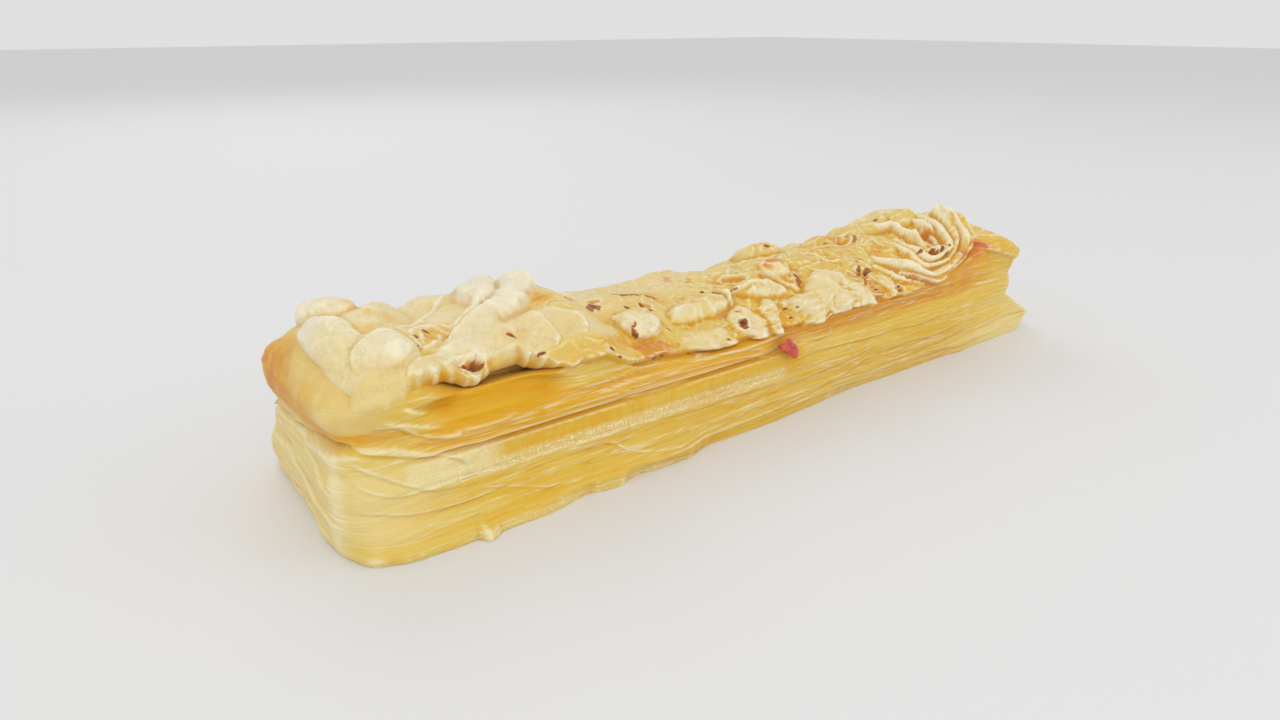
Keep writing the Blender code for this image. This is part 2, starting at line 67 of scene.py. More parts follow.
# The form that the pastry shares with its solid.
LENGTH = 194.0
HALF_WIDTH = 22.0
PASTRY_CUTS = ((84, 3), (35,), (54, 1))  # how often its box is split along, across and up
LEDGE_HEIGHT = 15.5
LEDGE_SHARE = 0.56  # the share of the box's height that goes to what is under the ledge
CRUST_DROP = 7.5  # how far the crust lies under the cheese's mean height, at most
TOP_RADIUS = 9.0  # the round edges of the top
RIM_RADIUS = 5.0  # the same where the crust is bare, at the far end
CORNER_RADIUS = 5.0  # the upright corners at the base of the near end
FAR_CORNER_RADIUS = 2.0
CROWN = 6.5  # how far the top falls from its middle line to its sides
HOLLOW_SPAN = (20, 38)  # where the front wall is hollowed under the hanging cheese
FAR_FRONT = (104, 176)  # where the cheese covers the further half of the front
PANEL_SPAN = (23, 104)  # where the smooth panel under the ledge is

# The mean height of the cheese along the bar, and the crest at the back over it.
TOP_PROFILE = [
    (0, 34.5), (8, 35.5), (14, 35.5), (24, 33), (38, 33.5), (50, 34.5), (60, 30), (80, 28.5),
    (104, 28.5), (118, 30), (140, 29), (152, 30), (164, 33), (175, 35.5), (184, 32.2), (194, 28.8),
]
CREST = [
    (0, 0), (12, -0.3), (16, 0), (20, 1.9), (25, 0.5), (30, 1.7), (34, 1.2), (38, -0.9), (44, -0.3),
    (54, -1.8), (58, -2.8), (63, -0.8), (70, 0), (76, -0.3), (82, 0.8), (91, 1.2), (97, -0.9),
    (110, -1.7), (116, -0.5), (122, -0.6), (130, -1.6), (137, 0.5), (143, -1.5), (150, -0.8),
    (158, -2.6), (163, -0.3), (170, -0.6), (176, -1.5), (184, -1), (200, -0.8),
]
HUMP = (177, -9.5, 9, 9, 1.8)  # along, across, half length, half width, height

# Where the far end stands, up the front corner: the flare, the notch and the wall.
PLAIN_FAR_END = 190.3  # the place along that these are measured from
FAR_END = [
    (0, 193.6), (1.7, 195.9), (3.4, 197.9), (4.7, 198.3), (12.2, 186), (15.2, 188.4), (24, 190),
    (30, 190.6),
]

# How far the front lip stands past the wall.
BASE_LIP = [
    (-4, 0.6), (0, 1.2), (4, 3.4), (8, 4.8), (10, 5.3), (17, 6), (20, 5.9), (21.4, 7.9),
    (22.8, 7.4), (24.6, 6.2), (33, 6.2), (37, 5.9), (41, 4.9), (44, 4.3), (46, 5.2), (51, 5.7),
    (54, 4.2), (57, 3.9), (60, 4.7), (69, 4.6), (71, 4), (74, 3), (77, 2.3), (80, 2.6), (93, 2.7),
    (107, 1.8), (125, 0.7), (140, 0.9), (155, 0.7), (161, 0.6), (167, 1.4), (172, 0.8), (188, 0.6),
    (204, 0.6),
]

# Folds in the front wall, as (points, step, fade): the side on the left of the line's
# direction stands out by the step, which fades over that distance.
FRONT_FOLDS = [
    ([(0, 20), (3.7, 19.3), (10, 17.3), (15, 15.7), (19.7, 14), (22, 11.5)], 0.7, 3),
    ([(5, 22), (10, 22), (13, 20), (17.7, 18.7), (21, 18.6)], 0.6, 2),
    ([(10.3, 26.3), (15, 23.7), (20.3, 22.7), (28.3, 22.3), (35, 21.7), (41, 21)], -0.6, 2),
    ([(7, 24), (12, 22.4), (18, 20.8), (26, 20.4), (40, 20.6)], -0.5, 1.6),
    ([(20, 19), (28, 19), (32, 19.7), (40, 20), (62, 20), (78, 19), (88, 18.3),
      (96, 16.3)], 0.5, 2),
    ([(14, 18), (24, 17.4), (40, 17.2), (60, 17.4), (80, 17.5), (97, 15.9)], 0.45, 1.5),
    ([(20.7, 16), (25, 15.7), (35, 15.7), (51, 15.5), (61.7, 15), (70.3, 15.2), (78.3, 16),
      (89.7, 15.7), (98, 14.2)], 0.8, 2.5),
    ([(0, 18.7), (5, 15.3), (10, 12), (15, 9.3), (20.3, 8.7)], 0.5, 3),
    ([(0, 17.3), (3, 13.3), (10, 10), (22, 9.6)], 0.4, 2),
    ([(1, 9.3), (3.7, 8.7), (10, 6.7), (18, 6), (30, 6.2)], 0.5, 3),
    ([(21, 8), (32.3, 5), (36.3, 4), (44, 3.4)], 0.4, 2),
    ([(40.3, 7.7), (50.3, 7.7), (55, 5.3), (61.7, 4), (70.3, 3.5), (81.7, 4), (89.7, 4.7)], 0.5, 2),
    ([(62, 2.6), (80, 2.6), (100, 3.3), (120, 5.3), (130, 7.3), (145.7, 8), (155, 7.3), (168, 9.3),
      (176, 11.5)], 0.55, 2.5),
    ([(103.7, 16.3), (110, 15.7), (115, 15.7), (117, 17.3), (124.3, 17), (129.7, 17.3), (135, 18.3),
      (140, 19), (150, 18.7), (155, 18), (162, 18.8)], 0.6, 2),
    ([(98, 12.3), (112, 12.8), (129.7, 12), (140.3, 12), (150.3, 11.3), (155, 12),
      (168, 15.3)], 0.55, 2),
    ([(102, 10.2), (110, 10), (120, 10.7), (124, 12)], 0.4, 2),
    ([(100, 7), (118, 8.2), (132, 9.6), (146, 9.8), (160, 10.2)], 0.4, 2),
    ([(152, 3.5), (165, 2), (178, 2.7), (188, 4), (197, 3.4)], 0.5, 2),
    ([(170, 4.7), (181.7, 6), (189.7, 5.4), (197, 4.4)], 0.5, 2),
    ([(130, 4.4), (148, 4.6), (160, 5.4), (172, 7.4)], 0.35, 2),
]

# Folds in the near end, in across and height, and how much deeper than that they are.
NEAR_FOLD_DEPTH = 1.35
NEAR_FOLDS = [
    ([(-23, 20.4), (-18.8, 20), (-12.4, 19.4), (-7, 18.5), (-2.1, 17.6), (3, 16.6), (11.3, 16.1),
      (20, 15.6)], 1.1, 5),
    ([(-20, 18.2), (-14, 17.6), (-8, 16.6), (-3, 16.2)], -0.5, 2),
    ([(18, 12.8), (9, 14.2), (1.7, 15), (-5.3, 14.6), (-11.7, 13.4), (-18.8, 11.5)], 0.35, 3),
    ([(18.5, 9.4), (15.3, 10), (6.9, 11), (2.2, 10.8), (-1.9, 9.8), (-9.4, 7.4), (-16, 6.6),
      (-21, 6)], 0.4, 3),
    ([(18.8, 6.5), (12.9, 5.5), (5.4, 4.3), (-2.4, 3), (-9.9, 2.3), (-17.5, 2.2)], 0.35, 2.5),
    ([(18, 4), (10, 3), (2, 2)], 0.3, 2),
]

# Stains of pepper on the far rim as (along, height, length, width, turn, strength).
PINK_SPOTS = [(172.6, 26.2, 6, 3.4, 20, 0.5), (175.4, 27.9, 3.4, 1.4, 10, 0.9)]

# The cheese, as it lies round the top: where its four edges run.
FRONT_EDGE = [
    (-6, -33), (0, -36), (4, -36.4), (8, -35.4), (11, -33), (14.8, -27.4), (18, -23.2),
    (20.8, -19.6), (22.6, -20.6), (24.4, -24.2), (26, -25), (28, -22.4), (30, -19.8), (35.2, -19.8),
    (36.4, -23), (38.6, -26.6), (40.8, -29), (44, -32), (49, -33.4), (55.2, -33), (60, -31.6),
    (66, -31), (72, -30.6), (79, -30.4), (85, -30.6), (91, -31.2), (95.6, -32.4), (102.4, -31),
    (105, -30.6), (106.4, -31.8), (109, -32.6), (112, -32.4), (113.5, -31.4), (115, -32.4),
    (118.5, -32.6), (121.8, -32), (123, -31), (124.6, -32.2), (128, -32.6), (130, -31.8),
    (131.2, -30.4), (134, -31.6), (140, -32.2), (148, -32.8), (156, -32.6), (163, -32.2),
    (169.6, -29.4), (174.4, -25.2), (182, -14.8),
]
NEAR_EDGE = [
    (-38, 1.0), (-34, -5.0), (-28, -4.5), (-22, -4.0), (-16, -3.0), (-11, -2.4), (-5, -2.0),
    (2.4, -1.6), (6, -0.8), (9.8, 1.2), (13, 4), (20, 7), (30, 10),
]
FAR_EDGE = [
    (-36, 164), (-31, 169), (-25, 173.5), (-16, 178), (-6, 181.5), (6, 180), (14, 175.4),
    (22, 169.5), (30, 160),
]
ARCH = (20, 42)  # where the front edge hangs free over the hollow
# The sheet that is bent to those edges: where it starts, how long it is and its back edge.
SHEET_START, SHEET_LENGTH, SHEET_BACK = -5, 182, 27
SHEET_SINK = 0.9  # how far the sheet between the lobes lies under the mean surface
SIDE_THICKNESS = 0.9  # how thick it is down the sides

# Lobes as (along, across, length, width, height, tone): the height is over the mean
# surface, and turns the oval by as many degrees, and the tone runs from deep (-1) to
# pale (1).
LOBES = [
    (4.4, -4.2, 12.5, 20, 1.8, 1), (5.6, -16, 14, 26, 0.7, 0.6), (12.4, -13.2, 13.5, 13, 1.5, 0.8),
    (9.5, 9, 11, 14, 2.6, 0.5), (18, 4, 9, 12, 0.9, 0.3), (13.4, -0.5, 7.5, 9, 0.8, 0.4),
    (16.8, -21.6, 13, 14, 0.7, 0.5), (27.6, -14.4, 16, 10, 0.6, 0.8), (9, -27, 18, 18, 0.9, 0.4),
    (38, -15.6, 13, 15, 1.4, 0.6), (45.2, -16.4, 12, 14, 1.3, 0.5), (44, -25.6, 16, 12, 1.2, 0.1),
    (54, -17.6, 13, 12, 1.1, 0.4), (54.8, -26.8, 13, 12, 1, 0.1), (60.8, -4.8, 14, 10, 0.8, 0.3),
    (70.8, -2, 14, 10, 0.6, 0.2), (97.2, 1.2, 14, 9, 1, 0.2), (121, 9, 14, 13, 2.2, 0.2),
    (111, -6.6, 7.6, 7.6, 2, 0.2), (105.2, -0.8, 14, 10, 0.9, 0.2), (121.6, -4.8, 12, 10, 0.8, 0),
    (135.6, 0.8, 11, 10, 1, 0), (137.2, -8.4, 12, 10, 1.2, 0.1), (140, 4, 14, 9, 1.6, -0.2),
    (148.4, -5.2, 12, 14, 1.4, 0), (157, 4, 14, 10, 1.8, 0.1), (165.2, -0.4, 10, 12, 1.8, 0.1),
]

# Flat flows with rounded rims, as (height, rim, tone, lean, outline): the lean is how much
# lower the flow gets towards its upper side, or, under 0, towards its lower end.
FLOWS = [
    (2.6, 2.8, 1, -0.5, [(41, 1.4), (39.8, -1.4), (37.2, -3), (33.7, -5.6), (30.8, -7.3),
        (28.2, -8.4), (27.7, -7.3), (29, -5.8), (31, -5.1), (34, -2.9), (35, 0), (35, 4),
        (36.6, 11), (40, 18), (46, 25), (51, 22), (46, 12), (43, 5)]),
    (2.4, 3.2, 1, -0.9, [(27.9, -8.9), (30.7, -7.5), (33.6, -5.9), (37, -3.4), (39.8, -1.6),
        (43.2, 4), (47, 12), (51.5, 22), (58, 24), (55, 14), (51, 5), (47, -2.2), (42.5, -6.3),
        (39.4, -8.9), (37.1, -10.6), (35.2, -11.7), (33.9, -12.9), (32.9, -14.2), (31.9, -15.6),
        (30.8, -17.4), (27, -17.6), (22.4, -16.6), (21, -14.6), (24, -11.6)]),
    (3.0, 8, 0.65, 0.4, [(103.4, -16.1), (103.6, -20.4), (104.5, -24.8), (104.8, -28),
        (105.8, -30.8), (108, -32.6), (111, -33.2), (113.5, -32.2), (116, -33.2), (120, -33.2),
        (122.8, -32), (125.4, -33.4), (128.6, -33), (130.6, -30.8), (130.8, -26.9), (130.8, -22.9),
        (130.6, -21), (129.6, -19.2), (128.6, -17.2), (127.5, -15.6), (126.3, -13.4),
        (123.6, -11.5), (119.6, -10.9), (115.4, -12.5), (112.9, -14.3), (111.3, -15.8),
        (109.3, -15.5), (106.9, -15.1)]),
    (2.3, 7, 0.6, 0.6, [(71.4, -17.5), (69.9, -21.6), (69.6, -24.5), (71.4, -27.2), (74, -29.2),
        (76.4, -30.8), (80.3, -31.5), (85.4, -30.8), (88.7, -29.3), (87.4, -26.8), (85.3, -24.7),
        (85.1, -22.2), (84.8, -19.8), (83.7, -17.9), (80.6, -17.1), (76.7, -17.3), (74.1, -16.3)]),
    (2.3, 5, 0.7, 0.6, [(86, -19), (85.8, -21.7), (86, -25.3), (88.7, -28.8), (90.5, -31),
        (93.6, -30.4), (94.8, -26.8), (95.4, -23.3), (95.6, -20.1), (95, -17.3), (94, -14.8),
        (91.3, -13.5), (87.7, -15.9)]),
    (1.9, 3, 0.6, 0.6, [(96.9, -16.8), (96, -20.8), (95.6, -25.2), (95.4, -28.7), (96.8, -31),
        (98.7, -28.8), (99.6, -23.4), (101.8, -17.9), (101.6, -15.3), (99.4, -14.3)]),
    (1.8, 3.4, 0.8, 0.7, [(61.1, -10), (63.8, -9.5), (66.5, -10.6), (69.4, -12.4), (70.1, -14.5),
        (68.6, -17.5), (65.4, -19.3), (62, -18.4), (60.3, -15.4)]),
    (1.6, 5, 0.4, 0.6, [(73.7, -12.2), (81, -7.6), (87.5, -7.6), (90.8, -10.5), (92.2, -12.8),
        (87.3, -14.7), (84.4, -15.2), (78.1, -15.9), (73.1, -15.1)]),
    (1.7, 4.4, 0.5, 0.5, [(93.4, -9.4), (97.8, -7.5), (101.2, -7.8), (105.8, -7.8), (107.2, -11.1),
        (107.7, -14.4), (103.9, -14.1), (98.3, -13.3), (95.6, -10.7)]),
    (1.4, 3.4, 0.5, 0.6, [(136.2, -16.6), (135, -20.3), (134.7, -24.7), (135.8, -27.9),
        (138.2, -29), (139.4, -24.7), (140.8, -19.4), (140.7, -17.1), (139.4, -15.6)]),
]

MELTED_IN = 1.45  # lower lobes than this are soft swellings without an edge
THIN_RIDGE = 0.65  # thinner ropes than this are ridges on whatever lies under them

# Ropes as (radius, lift, tone, fade, points): the fade is how much of the rope's length
# it takes to rise out of the cheese at its start.
ROPES = [
    (0.4, 0.4, 0.8, 0.2, [(16.4, -7.2), (20.3, -4.1), (25.4, 0), (30.4, 5), (36, 11)]),
    (0.4, 0.4, 0.9, 0.1, [(18.8, -9.6), (19.6, -7.3), (21.8, -4.3), (23.6, -3.8), (25.2, -5.5),
        (26.2, -7.7), (26.5, -8.6)]),
    (0.4, 0.4, 0.8, 0.1, [(18.8, -9.2), (18.9, -11.4), (19.6, -12.5), (21.2, -11.8), (23.6, -9.6),
        (24.6, -8.4), (24.7, -6.5)]),
    (0.4, 0.4, 0.5, 0.1, [(21.9, -7.4), (20.4, -10), (19.7, -11.9)]),
    (0.4, 0.4, 1, 0.1, [(23.1, -18.9), (24.6, -19.9), (25.4, -23.8), (27.2, -23.6), (28.9, -20.6),
        (30.2, -19.2), (32.5, -18.9)]),
    (0.4, 0.4, 0.9, 0.1, [(21.3, -17.3), (23.3, -16.2), (26.6, -16.7), (30.4, -18.4)]),
    (0.4, 0.4, 0.8, 0.2, [(106.4, -4.8), (107.6, -8.5), (109.3, -11.8), (111.3, -15.6)]),
    (0.4, 0.4, 0.8, 0.2, [(116.4, -4.6), (114.6, -8.1), (114.3, -10.3), (111.8, -15.3)]),
    (0.4, 0.45, 0.9, 0.1, [(151.3, -7.8), (152.1, -11.6), (151.3, -15.9), (152, -18.5),
        (154.3, -21.1), (157.5, -23.4), (161, -23.8), (164.8, -21.8), (167.6, -19.2),
        (170.7, -16)]),
    (0.4, 0.45, 0.7, 0.1, [(154.1, -11.6), (153.4, -15.8), (154.1, -18.1), (155.6, -20.5),
        (158.7, -22.1), (161.9, -21.5), (165, -19.4), (168.2, -16.6), (171.1, -13.5)]),
    (0.4, 0.45, 0.5, 0.1, [(161.7, -20.2), (164.6, -18.3), (167.8, -15.6), (170.3, -13.2)]),
    (0.4, 0.45, 0.6, 0.1, [(157, -7.4), (155.8, -11.4), (155.3, -15.9)]),
    (0.4, 0.45, 0.7, 0.1, [(163.4, -16.9), (165.5, -14.9), (167.9, -13.2), (169.8, -12.4)]),
    (0.4, 0.45, 0.8, 0.1, [(163.9, -6.3), (165.1, -9.4), (167.9, -10.6), (169.5, -9.8),
        (170.6, -7)]),
    (0.4, 0.45, 0.6, 0.2, [(149, -9.8), (148.5, -6.8), (148.7, -4.1)]),
    (0.5, 0.5, 0.5, 0.3, [(111.6, -1.2), (113.6, -0.2), (115.4, -1.6), (115.4, -5.6),
        (112.8, -10.8), (111.6, -14.8)]),
    (0.5, 0.5, 0.6, 0.3, [(122, -1), (128.4, -1.2), (129.2, -7.2), (132.8, -9.6)]),
    (0.7, 0.8, 0.6, 0.3, [(147.6, 7), (153.6, 4.4), (156.4, 0.4), (159.6, -2.8), (158.8, -7.2)]),
    (1.5, 1.2, 0.6, 0.2, [(142.8, -10), (145.6, -14.8), (148, -18.8), (151.2, -24), (155.2, -25.2),
        (160.4, -25.6), (166, -22.8), (169.2, -19.6), (170.8, -15.2), (171.6, -9.6),
        (171.6, -1.6)]),
    (0.9, 1.2, 0.5, 0.2, [(152.8, -4.4), (152.4, -12.4), (152, -18.8), (155.6, -21.6), (160, -23.2),
        (164.8, -20), (168, -16.8), (170, -11.6), (171.2, -4), (166.4, 0.4)]),
    (1.1, 1.2, 0.4, 0.2, [(155.2, -7.6), (154.4, -14), (155.6, -18), (158.8, -20), (162.8, -19.2),
        (165.6, -15.6), (167.2, -10.4), (168.4, -3.2)]),
    (0.9, 1.2, 0.5, 0.2, [(159.6, -6.4), (159.2, -11.2), (160, -15.2), (160.4, -18), (162.8, -15.2),
        (164.4, -9.6), (166, -3.6)]),
    (0.9, 0.7, 0.3, 0.3, [(140, -13.6), (142, -18), (144, -22.8), (147.6, -26), (153.6, -28.8),
        (160.4, -28.8), (167.6, -25.6)]),
]

# Folds in the cheese, written as FRONT_FOLDS are.
CHEESE_FOLDS = [
    ([(113.5, -33), (113.6, -30.4), (113.3, -27.8)], 0.5, 1.6),
    ([(122.9, -33), (122.6, -30), (122, -27)], 0.5, 1.6),
    ([(10.9, -7), (9.9, -4.9), (8.3, -3.6), (6.7, -1.9), (5.4, 5), (3.1, 6.4), (1.4, 4.6), (0.7, 0),
      (0.9, -5), (-2.3, -6.2)], 0.5, 3),
    ([(12.1, -19), (14.6, -16.9), (19.1, -12.3), (19.3, -10.4), (18.1, -8.2), (15.5, -7.8),
      (11.4, -9.7), (8.3, -11.9), (6.7, -13.2), (5.9, -15.1), (6.1, -18.2)], 0.45, 3),
    ([(22, -13.9), (19.2, -14.8), (16, -17.3), (14.1, -19.4), (13.3, -22.8)], 0.4, 3),
    ([(40.9, -20.9), (41.5, -21.5), (43.4, -18.6), (43, -15.1), (42.1, -11.4),
      (38.4, -10.1)], 0.5, 3),
    ([(47.8, -21.6), (49.9, -18.5), (50.4, -15), (48, -12.1), (45.1, -9)], 0.45, 3),
    ([(55, -12.4), (51.7, -9), (47.7, -7.5)], 0.3, 2),
    ([(60.6, -17.8), (64.2, -19.1), (68.2, -16.7), (70.3, -13.6), (69.5, -11.7),
      (66.5, -11.3)], 0.5, 2.5),
    ([(87.3, -14.4), (90.9, -13.1), (94.5, -10.3), (98.4, -11.1), (104.9, -12.6)], 0.3, 2),
    ([(111.1, -15.6), (109.9, -12.8), (108.1, -9.2), (106.1, -4.8)], -0.6, 2.5),
    ([(111.3, -15.2), (114.3, -11.7), (114.6, -9.1)], 0.5, 2),
    ([(130.2, -10.5), (126.7, -7.4), (121.3, -9.1), (115.4, -8.8)], 0.4, 2.5),
    ([(143.2, -17.6), (144.4, -19.6), (146.8, -22.2), (147.6, -25.1), (149.5, -27.1),
      (153.9, -31.5), (162.2, -36.9)], 0.8, 3),
    ([(130.5, -25.6), (133.8, -28.2), (140.8, -29.9), (147.4, -31.8), (153.7, -32.9)], 0.4, 2),
    ([(130.7, -12.9), (134.6, -15.4), (135.5, -19.3), (135.9, -23.8), (136.3, -27.1)], 0.4, 3),
    ([(141.3, -10.1), (142.6, -8.5), (142.5, -5.5), (142.4, -0.2)], 0.4, 3),
    ([(128.6, -0.5), (135.6, -0.6), (139.5, -2.1), (143.6, -2.4), (150.8, 3.4)], 0.4, 3),
    ([(143.3, -18.2), (145.1, -20.4), (146.9, -24), (149.1, -26.2), (152.6, -29.2),
      (160.4, -34.4)], 0.9, 3),
]

# Pits and burst bubbles as (along, across, length, width, turn, depth), as all such ovals
# with the turn in degrees.
PITS = [
    (24.2, -7.7, 6, 6, 0, 0.5), (26.3, -18.8, 4, 4, 0, 0.9), (88.5, -21.4, 2.6, 5, -15, 1),
    (99.9, -4.6, 7, 3.4, -10, 0.9), (60.2, -4, 4.4, 3, -10, 0.7), (71.4, -7.9, 2.6, 3, 0, 0.6),
    (140.4, -25.6, 3, 3.8, 0, 0.7), (161.6, -14, 6.5, 8, 0, 1.9), (122.5, -32.7, 3, 1.4, -20, 0.5),
    (133.6, -15.1, 4, 4, 20, 0.7), (173.6, -1.8, 13, 7.5, 50, 2.8),
]

# Burnt and spiced places as (along, across, length, width, turn).
SPICE = [
    (22.8, -5.7, 1.5, 1.1, 0), (19.8, -8.9, 1.7, 1.5, 0), (22, -7.6, 1, 1.3, 0),
    (26.8, -8.8, 2.6, 0.9, -30), (18.7, -12.8, 0.8, 0.8, 0), (35.1, -15.2, 2.4, 1, -25),
    (25, -18.5, 2.8, 2.6, 0), (26.4, -18.5, 2.4, 3, 0), (27.6, -18.7, 1.8, 1.4, -30),
    (38.1, -22.4, 2, 1.8, 0), (62.3, -16.1, 2.6, 0.8, 35), (61.7, -17.5, 1.3, 3, 10),
    (63.4, -28, 2, 2.6, 20), (65.6, -27.4, 1.2, 2, 20), (73.2, -28.6, 1.8, 1.5, 0),
    (71, -16.8, 1.1, 1.7, 0), (80.4, -30.3, 2, 0.7, 10), (87.5, -31.3, 1.7, 0.9, 0),
    (82.5, -34.2, 1.2, 1, 0), (93.9, -31.8, 1.7, 1, 0), (82.1, -26, 0.8, 1.2, 0),
    (80.3, -11.5, 2.6, 0.7, -10), (90, -16.4, 1.6, 0.7, 0), (91.3, -7.6, 1.4, 2, -40),
    (94.8, -9.1, 2.8, 1, -15), (89.1, -21.4, 2.2, 5.6, -18), (88, -23.3, 1.6, 2.4, 0),
    (103.7, -18.9, 1.4, 1.4, 0), (98.8, -27, 0.9, 2.4, 0), (102.7, -24.1, 1.1, 1.8, 0),
    (105.7, -20.6, 0.8, 0.9, 0), (71, -7.3, 1.8, 2.6, 0), (71.3, -9.6, 1, 2.2, 0),
    (97.9, -4.8, 3.4, 1.4, 0), (99.4, -4.4, 3, 1, 0), (121.6, -32.6, 1.8, 0.9, -20),
    (123.4, -33.3, 1.8, 1.3, -20), (88.7, -6.4, 1.5, 1, 0), (113, -13, 1, 3.8, -35),
    (59.7, -4.7, 3, 1.6, -40), (58.9, -6.5, 2.4, 2.6, 0), (53.8, -5.4, 2.6, 0.8, -35),
    (52, -27.2, 1.8, 1.2, -40), (53.8, -29.1, 1.1, 1.6, 0), (66.9, -7.2, 2, 0.9, 0),
    (131.8, -15.3, 2.8, 1.2, 30), (132.7, -16.2, 1.4, 2.8, 0), (133.4, -13.5, 2.2, 0.8, 30),
    (135.9, -14.6, 3.4, 1, 5), (137.6, -13.9, 2, 0.7, -30), (131.3, -14.4, 1, 1.6, 0),
    (132.8, -23.1, 2.4, 1.4, 0), (133.5, -19.1, 0.9, 2.2, 0), (138.6, -25.2, 1.2, 2.6, 20),
    (140.7, -26.3, 1.8, 1.6, 0), (140.8, -24.1, 1.6, 1, -30), (140, -22.4, 0.9, 1.4, 0),
    (158.3, -17.1, 1.8, 2, 0), (158.8, -18.2, 1.2, 1.2, 0), (160.2, -18.5, 2, 2.6, 0),
    (162.6, -19, 1.6, 2.6, 0), (154.3, -15.8, 1.8, 1.1, 0), (160.6, -20.6, 2.6, 0.8, 0),
    (157.7, 1.7, 2.4, 2, 0), (175, -26.4, 2.8, 1.5, 0), (165, -29.3, 3.4, 0.9, 0),
    (173, -39.8, 1.8, 0.9, 0), (119.8, 4.8, 1.6, 2.6, 30),
]

# Golden, oven-browned places as (along, across, length, width, turn, strength).
BROWNED = [
    (24.2, -7.7, 9, 6, 0, 0.5), (26.5, -18.8, 8, 4, 0, 0.7), (48.6, -4.3, 8, 4, 0, 0.6),
    (35.9, -14.9, 6, 4, 0, 0.4), (13.3, 4, 6, 4, 20, 0.6), (16.5, -1, 6, 3, -20, 0.5),
    (70, -32.8, 22, 3, 0, 0.5), (60, -4.9, 8, 4, 0, 0.4), (71.4, -7.1, 8, 3, 0, 0.4),
    (97.8, -4.4, 11, 5, 0, 0.7), (90, -11.8, 10, 4, 0, 0.5), (84.2, -26.9, 10, 4, 0, 0.5),
    (97.8, -27.2, 6, 8, 0, 0.5), (111.3, -6.2, 8, 6, 0, 1), (109.9, -12.2, 9, 4, 0, 0.4),
    (101.1, -21.9, 4, 10, 0, 0.5), (132.4, -24.7, 8, 7, 0, 0.9), (133.5, -14.7, 8, 5, 0, 0.5),
    (141.6, 3.5, 12, 7, 0, 0.9), (133.6, 0.2, 9, 7, 0, 0.6), (146.3, -24.9, 20, 3.4, -22, 0.9),
    (143, -30.8, 22, 3, -8, 0.9), (161.7, -12.9, 8, 9, 0, 0.8), (163.1, -22.5, 10, 4, 10, 0.4),
    (120, 5, 9, 6, 0, 0.5), (154.2, 7.4, 10, 6, 0, 0.4), (167.4, -33.7, 12, 4, 10, 0.6),
    (165.7, -25.5, 7, 8, 0, 0.8), (64, -23.8, 13, 11, 0, 1), (56.6, -22.3, 9, 4, 35, 0.7),
    (132.1, -26.1, 4.4, 4, 0, 1), (161.9, -13.4, 7, 10, 0, 0.9), (172, -22.8, 5, 9, 0, 0.8),
    (26.1, -18.7, 6, 5, 0, 1), (102.2, -22.7, 3.6, 12, 0, 0.7), (118.1, -33.9, 28, 2.6, 0, 0.8),
]

